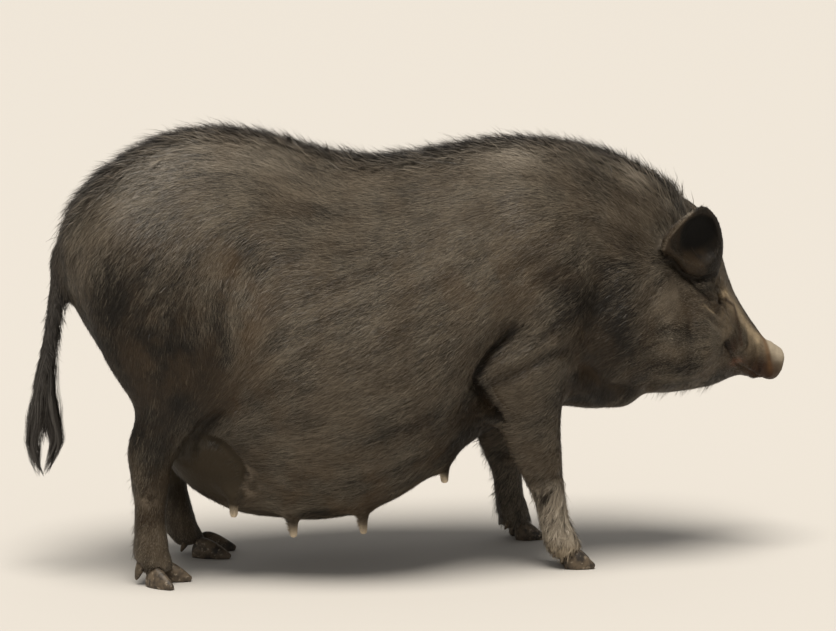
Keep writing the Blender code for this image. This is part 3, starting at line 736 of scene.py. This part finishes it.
def makeCoat(name, chosen, share, length, width, lift, bent=False, hang=None, gather=None):
    # A short blade is one triangle. A bent one has a quad first, and follows the skin. Hanging ones point down, but
    # also out and along the lie by these shares. Gathered ones meet at the tip, lock by lock.
    count = len(chosen)
    root = atRoots(points, chosen, share)
    facing = unit(atRoots(outward, chosen, share))
    along = combed(root, facing)
    cell, reach, contrast = coatTone["clump"]
    clump = clumps(root, along, cell, reach, 17)
    lift = lift * (1 + 0.3 * clump).clip(0.3, 1.8)
    if hang is not None:
        along = unit(np.array([0, 0, -1]) + hang[0] * facing + hang[1] * along)
    across = unit(np.cross(facing, along))
    aim, sway = root, draw.normal(0, coat["sway"], count)
    if gather:
        lock = np.unique(np.floor(root / gather).astype(int), axis=0, return_inverse=True)[1].ravel()
        members = np.bincount(lock)
        middle = np.stack([np.bincount(lock, column) / members for column in root.T], 1)[lock]
        whim = draw.normal(0, 1, (len(members), 3))[lock]
        aim = root + 0.75 * (middle - root)
        sway = 0.4 * sway + 16 * whim[:, 0]
        lift = lift * (1 + 0.3 * whim[:, 1]).clip(0.3, 1.5)
        length = length * (1 + 0.25 * whim[:, 2]).clip(0.5, 1.5)
    turn = np.radians(sway)[:, None]
    along = along * np.cos(turn) + across * np.sin(turn)
    across = unit(np.cross(facing, along))
    roll = np.radians(draw.normal(0, coat["roll"], count))[:, None]
    across = across * np.cos(roll) + facing * np.sin(roll)
    half = across * (width / 2)[:, None]
    tip = aim + along * length[:, None] + facing * lift[:, None]
    sunk = root - facing * coat["sunk"]
    if bent:
        halfWay = (root + aim) / 2 + along * (length * 0.5)[:, None]
        middle = halfWay + facing * (lift * 0.62)[:, None]
        if hang is None:
            middle, middleFacing = onSkin(halfWay)
            middle = middle + middleFacing * (lift * 0.62)[:, None]
            tip, tipFacing = onSkin(aim + along * length[:, None])
            tip = tip + tipFacing * lift[:, None]
        corners = np.stack([sunk - half, sunk + half, middle + half * 0.85, middle - half * 0.85, tip], 1)
        faces = [(0, 1, 2, 3), (3, 2, 4)]
        stretch = np.array([(0, 0), (1, 0), (1, 0.5), (0, 0.5), (0.5, 1)])
    else:
        corners = np.stack([sunk - half, sunk + half, tip], 1)
        faces = [(0, 1, 2)]
        stretch = np.array([(0, 0), (1, 0), (0.5, 1)])
    facts = {"tone": atRoots(tone, chosen, share) + contrast * clump + coatTone["blade"] * draw.normal(0, 1, count)}
    for mark, values in marks.items():
        facts[mark] = atRoots(values, chosen, share)
    makeBlades(name, corners, faces, rootPlaces(chosen, share), stretch, stretch[:, 1], facts)


# An unwrap of the skin: the body is a barrel along X, and each leg, ear and the tail is a column.
unwrap = {
    "barrel": (0.01, 0.01, 0.99, 0.60),
    "axisHeight": 0.40,
    "families": (("thigh", "hindcannon", "hindfoot"), ("foreleg", "forecannon", "forefoot"), ("ear",), ("tail",)),
    "column": (0.01, 0.124, 0.112),  # left, pitch, width
    "columnFoot": (0.62, 0.36),
}


def around(first, second):
    return np.arctan2(first, second) / (2 * math.pi) + 0.5


def unwrapped():
    low, high = points.min(0), points.max(0)
    left, bottom, right, top = unwrap["barrel"]
    along = (points[:, 0] - low[0]) / (high[0] - low[0])
    turn = around(points[:, 1], height - unwrap["axisHeight"])
    spots = np.column_stack([left + (right - left) * along, bottom + (top - bottom) * turn])
    left, pitch, width = unwrap["column"]
    foot, tall = unwrap["columnFoot"]
    slot = 0
    for family in unwrap["families"]:
        inFamily = np.isin(labels, [kinds.index(kind) for kind in family])
        for side in (points[:, 1] <= 0, points[:, 1] > 0):
            mine = inFamily & side
            low, high = points[mine].min(0), points[mine].max(0)
            middle = (low + high) / 2
            turn = around(points[mine, 1] - middle[1], points[mine, 0] - middle[0])
            up = (points[mine, 2] - low[2]) / (high[2] - low[2])
            spots[mine] = np.column_stack([left + slot * pitch + width * turn, foot + tall * up])
            slot += 1
    return spots


skinPlaces = unwrapped()


def rootPlaces(chosen, share):
    # Roots on a triangle that the unwrap cuts are put at its first corner.
    picked = skinPlaces[triangles[chosen]]
    spread = (picked.max(1) - picked.min(1)).max(1)
    return np.where((spread < 0.03)[:, None], (picked * share[:, :, None]).sum(1), picked[:, 0])


# The markings, the same on both sides: blobs, and lines with their width, strength and path in millimetres.
markings = {
    "warm": [
        (-270, 180, 470, 35, 200, 80, 0.9), (80, 190, 450, 90, 200, 40, 0.5), (-400, 150, 360, 50, 200, 60, 0.4),
        (-260, 160, 300, 50, 200, 100, 0.5), (-50, 150, 140, 250, 300, 60, 0.7), (520, 0, 330, 50, 200, 60, 0.3),
        (440, 100, 330, 40, 200, 50, 0.4),
    ],
    # Painted shade for the most part: in the hollow of the hip and on the thigh, low on the neck, under the jowl and
    # in the cheek valley, on the shoulder, between the forelegs, round the udder and between the teats, on top of the
    # forehead, in the eye and at the corner of the mouth.
    "darkHairAndShade": [
        (-395, 160, 350, 85, 200, 80, 1.45), (-478, 130, 380, 52, 200, 65, 1.5),
        (-452, 150, 460, 42, 200, 45, 0.8), (-345, 160, 330, 50, 200, 50, 0.6),
        (-350, 120, 300, 60, 200, 60, 0.8), (-345, 160, 455, 60, 200, 45, 0.3),
        (-420, 160, 500, 50, 200, 50, 0.3), (275, 140, 370, 56, 200, 100, 1.45), (455, 0, 470, 30, 50, 45, 0.9),
        (-410, 100, 240, 60, 200, 60, 1.1), (245, 120, 285, 40, 150, 30, 0.5), (-385, 100, 140, 50, 60, 50, 0.8),
        (-312, 110, 170, 38, 80, 50, 0.9), (405, 115, 308, 25, 30, 14, 0.9), (440, 95, 424, 20, 30, 8, 0.7),
        (461, 80, 402, 11, 30, 10, 1.4), (482, 80.5, 335, 16, 30, 14, 1.2), (527, 40, 300, 10, 30, 7, 1.0),
        (80, 130, 230, 35, 50, 50, 1.0), (100, 50, 200, 100, 60, 80, 1.0), (-262, 170, 500, 30, 200, 30, 0.4),
        (220, 150, 440, 20, 200, 30, 0.4), (407, 110, 360, 18, 40, 60, 0.4), (-154, 100, 100, 30, 60, 9, 1.1),
        (-362, 55, 158, 25, 50, 35, 1.3), (-405, 100, 106, 50, 60, 15, 0.7), (30, 130, 200, 50, 100, 50, 0.5),
        (-20, 180, 260, 120, 100, 30, 0.3), (-390, 100, 190, 30, 60, 20, 0.4), (280, 100, 270, 60, 100, 25, 0.8),
        (492, 50, 284, 36, 50, 12, 1.1),
    ],
    # The pale blobs at the top of the neck, on the withers and along the rump below the ridge are painted highlights,
    # the sheen of sunlit hair.
    "paleHairAndHighlight": [
        (378, 120, 410, 25, 50, 50, 0.09), (341, 66, 590, 24, 40, 22, 0.42), (142, 83, 627, 50, 40, 22, 0.38),
        (-310, 90, 628, 120, 50, 32, 0.32), (-512, 90, 490, 30, 90, 50, 0.12),
    ],
    "tan": [
        (540, 25, 330, 24, 30, 18, 0.4), (583, 0, 294, 10, 60, 22, 0.3), (470, 80, 365, 22, 30, 20, 0.3),
        (475, 70, 413, 8, 20, 7, 0.5),
    ],
    "stain": [(547, 0, 285, 23, 70, 19, 1.7), (570, 0, 277, 12, 60, 13, 1.0), (492, 70, 330, 10, 30, 13, 0.8)],
    "lip": [(500, 53, 305, 12, 30, 6, 0.9)],
    "dust": [
        (-258, 120, 165, 9, 50, 20, 1.0), (-250, 100, 140, 14, 50, 10, 0.6), (-400, 90, 24, 50, 50, 16, 0.25),
        (-412, 100, 134, 13, 50, 14, 0.5),
    ],
    "bare": [
        (-358, 55, 155, 30, 50, 42, 1.2), (-312, 110, 162, 56, 90, 70, 1.6), (448, 90, 415, 16, 30, 12, 0.6),
    ],
}
markLines = {
    "stain": [
        (2.8, 0.9, [(476, 405), (494, 392), (499, 373), (506, 352), (507, 330)]),
    ],
    "tan": [
        (8, 0.9, [(474, 413), (497, 388), (520, 359), (540, 338)]),
        (1.4, 0.9, [(432, 402), (441, 394), (450, 388)]),
    ],
    # Painted shade in the creases: at the base of the ear and the temple, the elbow, the flank, the edge of the
    # udder, the jowl, the forearm, the knee and the shoulder.
    "darkHairAndShade": [
        (4.5, 1.4, [(384, 464), (402, 448), (424, 440), (448, 443)]),
        (2.4, 0.9, [(409, 440), (446, 402)]),
        (11, 1.3, [(130, 385), (93, 348), (71, 314), (85, 288), (113, 247)]),
        (8, 1.2, [(-290, 290), (-331, 251), (-352, 220), (-372, 180)]),
        (6, 0.8, [(-335, 238), (-320, 230), (-302, 221), (-287, 204), (-274, 187), (-270, 150)]),
        (10, 0.9, [(252, 325), (268, 292), (300, 272), (330, 272)]),
        (10, 0.6, [(105, 306), (135, 319), (172, 339), (210, 348)]),
        (7, 0.5, [(160, 145.5), (214, 148), (235, 146)]),
        (16, 0.45, [(190, 470), (205, 430), (200, 390)]),
    ],
}


def markShare(mark):
    share = blobs(folded, markings[mark])
    for width, strength, path in markLines.get(mark, ()):
        share += strength * bump(pathOffset(points, path)[0], width / 1000) * ramp(folded[:, 1], 0.01, 0.03)
    return share.clip(0, 1.5)


# The right foreleg is pale from the knee down, with dried dust.
shank = {"top": (0.122, 0.150), "ragged": (0.012, 0.009), "strength": 0.9, "foot": (0.030, 0.055)}
# Cell, length and strength of the streaks, and how much the blades differ.
coatTone = {"fine": (0.005, 0.035, 0.16), "broad": (0.018, 0.10, 0.36), "clump": (0.0012, 0.02, 0.66), "blade": 0.85}
marks = {mark: markShare(mark) for mark in markings}
ragged, cell = shank["ragged"]
kneeHeight = height + ragged * (grainNoise(points, cell, 31) - 0.5)
onShank = kindShare("forecannon", "forefoot") * (points[:, 1] < 0) * fade(kneeHeight, *shank["top"])
marks["paleHairAndHighlight"] = (marks["paleHairAndHighlight"] + shank["strength"] * onShank).clip(0, 1)
marks["tan"] += 0.6 * onShank * fade(height, *shank["foot"])
marks["darkHairAndShade"] += 0.45 * ridgeShare * ramp(points[:, 0], 0.04, 0.20)

# The slate hair of the ridge goes on down the rump, and the tail is dark.
onTail = kindShare("tail") * fade(height, 0.46, 0.53)
behind = bump(points[:, 1], 0.035) * ramp(-outward[:, 0], 0.2, 0.6) * ramp(height, 0.40, 0.46)
marks["ridge"] = np.maximum(np.maximum(ridgeShare ** 0.42, 0.85 * onTail), 0.8 * behind)
marks["darkHairAndShade"] += 0.35 * onTail
# The teats are pale skin, painted much brighter than it is: painted light that stands in for sunlight on them.
marks["teat"] = teatShare

# The disc is pale, painted lighter towards the top as a painted highlight, and rusty at its border, which leans.
discUp = (points - disc["middle"]) @ disc["up"]
discBorder = (points - disc["middle"]) @ disc["facing"] + 0.0072 + 0.50 * discUp
atDisc = ramp(points[:, 0], 0.53, 0.54)
marks["snout"] = ramp(discBorder, -0.0032, 0.0030) * atDisc * (0.10 + 0.66 * ramp(discUp, 0.000, 0.020))
marks["rust"] = 0.60 * bump(discBorder + 0.0050, 0.0055) * atDisc * ramp(discUp, -0.024, -0.006)

# The ears are dark, with a pale line along the back of the rim. The cup and the inner side are painted near black,
# darkest in the cup: painted shade.
ears = kindShare("ear")
earRim = bump(pathOffset(points, [(359, 492), (364, 508), (386, 530), (412, 551)])[0], 0.0030)
earRim = earRim * ears * ramp(folded[:, 1], 0.11, 0.125)
earInnerShade = 0.38 * ears * (1 - earRim) * ramp(outward[:, 1] * np.sign(points[:, 1]), 0.0, 0.5)
marks["earShade"] = np.maximum(0.97 * ramp(inCup, 0.12, 0.88), earInnerShade)
marks["darkHairAndShade"] = (marks["darkHairAndShade"] + 0.85 * ears * (1 - earRim)).clip(0, 1.5)
marks["warm"] = marks["warm"] + 0.3 * ears
marks["paleHairAndHighlight"] = np.maximum(marks["paleHairAndHighlight"], 0.42 * earRim)

# Painted shade on the top of the bridge of the nose, where it faces up.
bridgeTopShade = 1.2 * bump(points[:, 1], 0.018) * ramp(points[:, 0], 0.43, 0.46) * fade(points[:, 0], 0.545, 0.56)
marks["darkHairAndShade"] = np.maximum(marks["darkHairAndShade"], bridgeTopShade * (outward[:, 2] > 0))
tone = sum(streaks(points, outward, cell, reach, seed) * strength
           for seed, (cell, reach, strength) in ((3, coatTone["fine"]), (5, coatTone["broad"])))
tone = tone + onShank * (0.5 + 1.7 * streaks(points, outward, 0.005, 0.05, 11)) + 0.35 * kindShare("foreleg")
record(skin.data, {**marks, "tone": tone})
print("markings laid out")


# Materials.
colors = {
    "black": (0.0145, 0.0112, 0.0078),
    "glint": (0.235, 0.194, 0.142),
    "warm": (0.115, 0.073, 0.038),
    "ridge": (0.066, 0.062, 0.060),
    # Pale hair, and the painted highlights on the upper back.
    "paleHairAndHighlight": (0.46, 0.395, 0.31),
    "tan": (0.36, 0.28, 0.18),
    "dust": (0.30, 0.24, 0.175),
    # Pale teat skin, painted brighter as painted light.
    "teat": (0.62, 0.51, 0.37),
    "bare": (0.042, 0.032, 0.020),
    "lip": (0.20, 0.105, 0.065),
    "stain": (0.038, 0.019, 0.010),
    "rust": (0.12, 0.063, 0.028),
    # Pale disc skin; its lighter top is a painted highlight.
    "snout": (0.34, 0.285, 0.21),
    # Painted shade in the ear.
    "earShade": (0.003, 0.0025, 0.002),
    "rootShade": (0.25, 0.25, 0.25),
    "tipShade": (1, 1, 1),
    "hornDark": (0.030, 0.023, 0.017),
    "hornLight": (0.125, 0.093, 0.061),
    "hornDust": (0.27, 0.22, 0.16),
    "eyeDark": (0.006, 0.004, 0.003),
    "eyeLight": (0.030, 0.016, 0.008),
}
colors = {name: (*color, 1) for name, color in colors.items()}


def newNode(tree, kind, inputs, **settings):
    # A node, its inputs set to constants or wired to the outputs of other nodes.
    node = tree.nodes.new("ShaderNode" + kind)
    for setting, value in settings.items():
        setattr(node, setting, value)
    for name, value in inputs.items():
        if isinstance(value, (int, float, tuple)):
            node.inputs[name].default_value = value
        else:
            tree.links.new(value, node.inputs[name])
    return node


def attribute(tree, name):
    return newNode(tree, "Attribute", {}, attribute_name=name).outputs["Fac"]


def math2(tree, operation, first, second, clamp=False):
    return newNode(tree, "Math", {0: first, 1: second}, operation=operation, use_clamp=clamp).outputs[0]


def mixColor(tree, share, first, second, blend="MIX"):
    inputs = {0: share, 6: first, 7: second}
    return newNode(tree, "Mix", inputs, data_type="RGBA", blend_type=blend).outputs[2]


def noise(tree, scale, detail=3.0):
    spot = newNode(tree, "TexCoord", {}).outputs["Object"]
    inputs = {"Vector": spot, "Scale": scale, "Detail": detail, "Roughness": 0.55}
    return newNode(tree, "TexNoise", inputs).outputs["Fac"]


def spreadOf(tree, value, low, high):
    inputs = {"Value": value, "From Min": low, "From Max": high}
    return newNode(tree, "MapRange", inputs, interpolation_type="SMOOTHSTEP").outputs["Result"]


def addRelief(tree, shader, strength, distance, height):
    relief = newNode(tree, "Bump", {"Strength": strength, "Distance": distance, "Height": height})
    tree.links.new(relief.outputs["Normal"], shader.inputs["Normal"])


def makeCoatColor():
    # The markings as a colour, the same on the skin and on the hair.
    group = bpy.data.node_groups.new("coatColor", "ShaderNodeTree")
    group.interface.new_socket("Lightness", in_out="INPUT", socket_type="NodeSocketFloat")
    group.interface.new_socket("Color", in_out="OUTPUT", socket_type="NodeSocketColor")
    given, result = group.nodes.new("NodeGroupInput"), group.nodes.new("NodeGroupOutput")

    def mark(name):
        return attribute(group, name)

    def times(first, second, clamp=False):
        return math2(group, "MULTIPLY", first, second, clamp)

    def patches(scale, low, high):
        return spreadOf(group, noise(group, scale), low, high)

    tone = math2(group, "ADD", mark("tone"), given.outputs["Lightness"])
    tone = math2(group, "ADD", tone, times(math2(group, "ADD", noise(group, 9.0), 1.0), 2.0))
    # The dark marking, painted shade for the most part, darkens the tone.
    tone = math2(group, "SUBTRACT", tone, times(mark("darkHairAndShade"), 2.2))
    color = mixColor(group, spreadOf(group, tone, 0.2, 6.0), colors["black"], colors["glint"])
    warmth = times(math2(group, "ADD", mark("warm"), 0.35), patches(16.0, 0.38, 0.62))
    color = mixColor(group, times(warmth, 0.55, True), color, colors["warm"])
    slate = mixColor(group, spreadOf(group, tone, -1.0, 5.0), colors["black"], colors["ridge"])
    color = mixColor(group, times(mark("ridge"), 0.9), color, slate)
    # The pale colour also lays the painted highlights on the upper back.
    for name, low in (("paleHairAndHighlight", 0.0), ("tan", -1.5), ("bare", -9.0)):
        share = times(mark(name), spreadOf(group, tone, low, low + 4.2), True)
        color = mixColor(group, share, color, colors[name])
    # The ear's near black is painted shade, and the snout's lighter top a painted highlight.
    for name in ("stain", "rust", "lip", "snout", "earShade"):
        color = mixColor(group, times(mark(name), 1.0, True), color, colors[name])
    color = mixColor(group, times(mark("dust"), patches(60.0, 0.4, 0.6), True), color, colors["dust"])
    # The teats get their pale skin, painted brighter as painted light.
    color = mixColor(group, mark("teat"), color, colors["teat"])
    group.links.new(color, result.inputs["Color"])
    return group


coatColor = makeCoatColor()


def coatTint(tree, lightness):
    return newNode(tree, "Group", {"Lightness": lightness}, node_tree=coatColor).outputs["Color"]


hide, tree, shader = newMaterial("hide", 0.6, 0.12)
tree.links.new(coatTint(tree, -1.2), shader.inputs["Base Color"])
addRelief(tree, shader, 0.4, 0.002, noise(tree, 180.0))

# The hair is darker at its roots.
hair, tree, shader = newMaterial("hair", 0.42, 0.30)
lit = math2(tree, "MULTIPLY_ADD", attribute(tree, "rise"), 0.75)
shade = mixColor(tree, lit, colors["rootShade"], colors["tipShade"])
tree.links.new(mixColor(tree, 1.0, coatTint(tree, 0.0), shade, "MULTIPLY"), shader.inputs["Base Color"])
print("materials ready")

skin.data.shade_smooth()
skin.data.materials.clear()
skin.data.materials.append(hide)
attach(skin, "root")
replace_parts(skin, *fleshNodes)
print("skin area:", round(float(triangleArea.sum()), 3))

# The short coat, in pieces from the tail to the snout.
wanted = float((density[triangles].mean(1) * triangleArea).sum())
density *= min(1.0, coat["mostTriangles"] / wanted) * 1.0
chosen, share = scatter(density)
order = np.argsort(atRoots(points, chosen, share)[:, 0], kind="stable")
chosen, share = chosen[order], share[order]
length = atRoots(lengths, chosen, share) * draw.uniform(0.7, 1.25, len(chosen))
lift = coat["lift"] * draw.uniform(0.5, 1.6, len(chosen)) * (length / 0.012).clip(0.3, 1.3)
lift = np.where(draw.random(len(chosen)) < 0.02, lift * 2.4, lift)
width = coat["width"] * draw.uniform(0.7, 1.3, len(chosen))
batches = np.array_split(np.arange(len(chosen)), math.ceil(len(chosen) / coat["batch"]))
for number, batch in enumerate(batches):
    makeCoat(f"coat_{number + 1}", chosen[batch], share[batch], length[batch], width[batch], lift[batch])

clawPlaces = [sum((Vector(c) for c in node.bound_box), Vector()) / 8
              for name, node in nodes.items() if name.startswith("dewclaw")]
nearDewclaw = sum(bump(lengthOf(points - np.array(claw)), 0.014) for claw in clawPlaces).clip(0, 1)


def spotted(*spots):
    return blobs(folded, [(*spot, 1) for spot in spots]).clip(0, 1) ** 1.5


# Longer hair: density, length, how far its tips stand off the skin, width, the size of its locks, how it hangs if
# it does, and where it grows.
longHair = {
    "ridgeHair": (330000, 0.033, (0.004, 0.0130), 0.0009, 0.008, None, ridgeShare ** 0.6),
    "chinHair": (150000, 0.013, (0.001, 0.004), 0.0006, 0.006, (0.0, 1.1),
                 spotted((420, 60, 270, 12, 40, 14), (459, 45, 272, 10, 40, 14), (385, 70, 270, 20, 30, 12))),
    "jowlHair": (60000, 0.015, (0.002, 0.007), 0.0007, 0.006, None, spotted((405, 113, 306, 18, 30, 12))),
    "legHair": (110000, 0.014, (0.003, 0.010), 0.0008, 0.007, None,
                spotted((75, 140, 220, 30, 40, 50), (125, 120, 130, 20, 30, 60), (150, 120, 70, 20, 30, 50))),
    "heelHair": (60000, 0.0095, (0.003, 0.007), 0.0007, 0.004, None,
                 spotted((-437, 80, 115, 12, 30, 50), (-432, 80, 65, 12, 30, 40))),
    "shankHair": (70000, 0.024, (0.001, 0.006), 0.0011, 0.006, None, onShank),
    "footHair": (110000, 0.011, (0.0, 0.001), 0.0008, 0.005, (0.30, 0.30),
                 kindShare("forefoot") * bump(height - 0.032, 0.018) * (1 - nearDewclaw)),
    "tailHair": (200000, 0.026, (0.001, 0.003), 0.0007, 0.006, (0.06, 0.25),
                 kindShare("tail") * fade(height, 0.40, 0.46)),
}
for name, (perSquareMetre, length, lift, width, gather, hang, where) in longHair.items():
    chosen, share = scatter(perSquareMetre * where)
    count = len(chosen)
    makeCoat(name, chosen, share, length * draw.uniform(0.6, 1.15, count), width * draw.uniform(0.7, 1.3, count),
             draw.uniform(*lift, count), True, hang, gather)


# The tuft of the tail: locks in two lobes. Each wisp has its place and its wave, and its locks keep near it.
tuft = {
    "lobes": np.array([  # (X, Z, half width) down each lobe, in millimetres
        [(-540, 378, 9), (-548, 345, 9.5), (-556, 320, 10), (-563, 283, 11.5), (-566.5, 258, 14),
         (-570, 235, 13.5), (-575.5, 206, 10.5), (-571.5, 176.5, 6.5), (-565, 152, 2)],
        [(-540, 378, 9), (-544, 345, 9.5), (-548, 320, 11), (-550, 283, 12.5), (-546.5, 258, 14),
         (-544, 235, 13.5), (-540.5, 206, 10), (-548, 181.5, 6), (-559, 156, 2)],
        [(-540, 378, 8), (-546, 350, 9), (-550, 330, 10), (-554, 310, 11), (-555.5, 290, 12), (-556, 270, 11),
         (-556.5, 248, 10), (-557, 226, 8), (-557.5, 200, 4)],
    ]) / 1000,
    "lobeShares": (0.40, 0.40, 0.20),
    "across": -0.010,
    "locks": 2400,
    "width": 0.0008,
    "wisps": 120,
    "steps": 11,
    "wave": 0.0045,
    "corner": (0.90, 0.62),
}


def makeTuft():
    spread = np.random.default_rng(23)
    lobes, count, steps, wisps = tuft["lobes"], tuft["locks"], tuft["steps"], tuft["wisps"]
    mine = spread.integers(0, wisps, count)
    lobe = spread.choice(3, wisps, p=tuft["lobeShares"])[mine]
    turn = spread.uniform(0, 2 * math.pi, wisps)[mine] + spread.normal(0, 0.25, count)
    out = (np.sqrt(spread.random(wisps))[mine] + spread.normal(0, 0.14, count)).clip(0, 1.35)
    begin = spread.uniform(0, 0.60, count)
    reach = (spread.uniform(0.72, 1.0, wisps)[mine] + spread.normal(0, 0.05, count)).clip(0.65, 1.0)
    share = np.linspace(0, 1, steps)
    at = begin[:, None] + (reach - begin)[:, None] * share[None]
    stations = np.linspace(0, 1, lobes.shape[1])
    x, z, width = np.array([[np.interp(at[i], stations, column) for column in lobes[lobe[i]].T]
                            for i in range(count)]).transpose(1, 0, 2)
    line = np.stack([x, np.full(at.shape, tuft["across"]), z], 2)
    aside = np.stack([np.cos(turn), 0.8 * np.sin(turn), np.zeros(count)], 1)
    bend, phase = spread.uniform(7, 15, wisps)[mine][:, None], spread.uniform(0, 6, wisps)[mine][:, None]
    wave = (tuft["wave"] * at * np.sin(at * bend + phase))[..., None] * np.array([1, 0.6, 0])
    line = line + aside[:, None] * (out[:, None] * width)[..., None] + wave
    half = (tuft["width"] / 2 * spread.uniform(0.6, 1.3, count))[:, None, None]
    across = unit(np.cross(aside, (0, 0, 1)))[:, None] * half
    taper = (1 - share ** 3)[None, :, None]
    corners = np.stack([line - across * taper, line + across * taper], 2)[:, :-1].reshape(count, -1, 3)
    corners = np.concatenate([corners, line[:, -1:]], 1)
    top = 2 * steps - 2
    faces = [(k, k + 1, k + 3, k + 2) for k in range(0, top - 2, 2)] + [(top - 2, top - 1, top)]
    rise = np.append(np.repeat(share[:-1], 2), 1)
    stretch = np.column_stack([np.append(np.tile([0, 1], steps - 1), 0.5), rise])
    left, bottom = tuft["corner"]
    places = np.column_stack([left + 0.02 * begin, bottom + 0.36 * (turn / 7)])
    shade = spread.normal(-0.8, 2.2, wisps)[mine] + spread.normal(0, 1.6, count)
    facts = {"tone": shade, "ridge": np.full(count, 0.95)}
    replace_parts(makeBlades("tailTuft", corners, faces, places, stretch, 0.3 + 0.7 * rise, facts), "tail_tuft")


makeTuft()


# Hooves, dewclaws and eyeballs, rounded from the solids.
hornPlan = {"weld": 2e-5, "sole": 0.004, "soleCrease": 0.85, "rounds": 2}


def makeHorn(node):
    name = "horn_" + node
    mesh = nodes[node].data.copy()
    mesh.name = name
    shape = bmesh.new()
    shape.from_mesh(mesh)
    bmesh.ops.remove_doubles(shape, verts=shape.verts, dist=hornPlan["weld"])
    bmesh.ops.join_triangles(shape, faces=shape.faces, angle_face_threshold=0.35, angle_shape_threshold=0.7)
    crease = shape.edges.layers.float.new("crease_edge")
    for edge in shape.edges:
        if max(vert.co.z for vert in edge.verts) < hornPlan["sole"]:
            edge[crease] = hornPlan["soleCrease"]
    shape.to_mesh(mesh)
    shape.free()
    piece = added(name, mesh)
    soften = piece.modifiers.new("rounded", "SUBSURF")
    soften.levels = soften.render_levels = hornPlan["rounds"]
    applied(piece)
    piece.data.shade_smooth()
    piece.data.materials.clear()
    piece.data.materials.append(hoofHorn)
    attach(piece, "root")
    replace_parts(piece, node)


hoofHorn, tree, shader = newMaterial("hoofHorn", 0.5, 0.3)
horn = mixColor(tree, spreadOf(tree, noise(tree, 70.0, 4.0), 0.35, 0.65), colors["hornDark"], colors["hornLight"])
horn = mixColor(tree, spreadOf(tree, noise(tree, 190.0), 0.55, 0.72), horn, colors["hornDust"])
tree.links.new(horn, shader.inputs["Base Color"])
addRelief(tree, shader, 0.5, 0.001, noise(tree, 160.0, 4.0))
for node in sorted(nodes):
    if node.startswith(("hoof", "dewclaw")):
        makeHorn(node)

eyeball, tree, shader = newMaterial("eyeball", 0.06)
tree.links.new(mixColor(tree, noise(tree, 300.0), colors["eyeDark"], colors["eyeLight"]), shader.inputs["Base Color"])
for side, sign in (("right", -1), ("left", 1)):
    middle, facing = Vector(eyes["middle"]), Vector(eyes["facing"]).normalized()
    middle.y *= sign
    facing.y *= sign
    ball = bpy.data.meshes.new("eyeball_" + side)
    shape = bmesh.new()
    bmesh.ops.create_uvsphere(shape, u_segments=32, v_segments=20, radius=eyes["ballRadius"])
    shape.to_mesh(ball)
    shape.free()
    piece = added("eyeball_" + side, ball)
    piece.location = middle - facing * eyes["ballDepth"]
    ball.shade_smooth()
    ball.materials.append(eyeball)
    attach(piece, "root")
    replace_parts(piece, "eye_" + side)
print("hooves and eyes made")
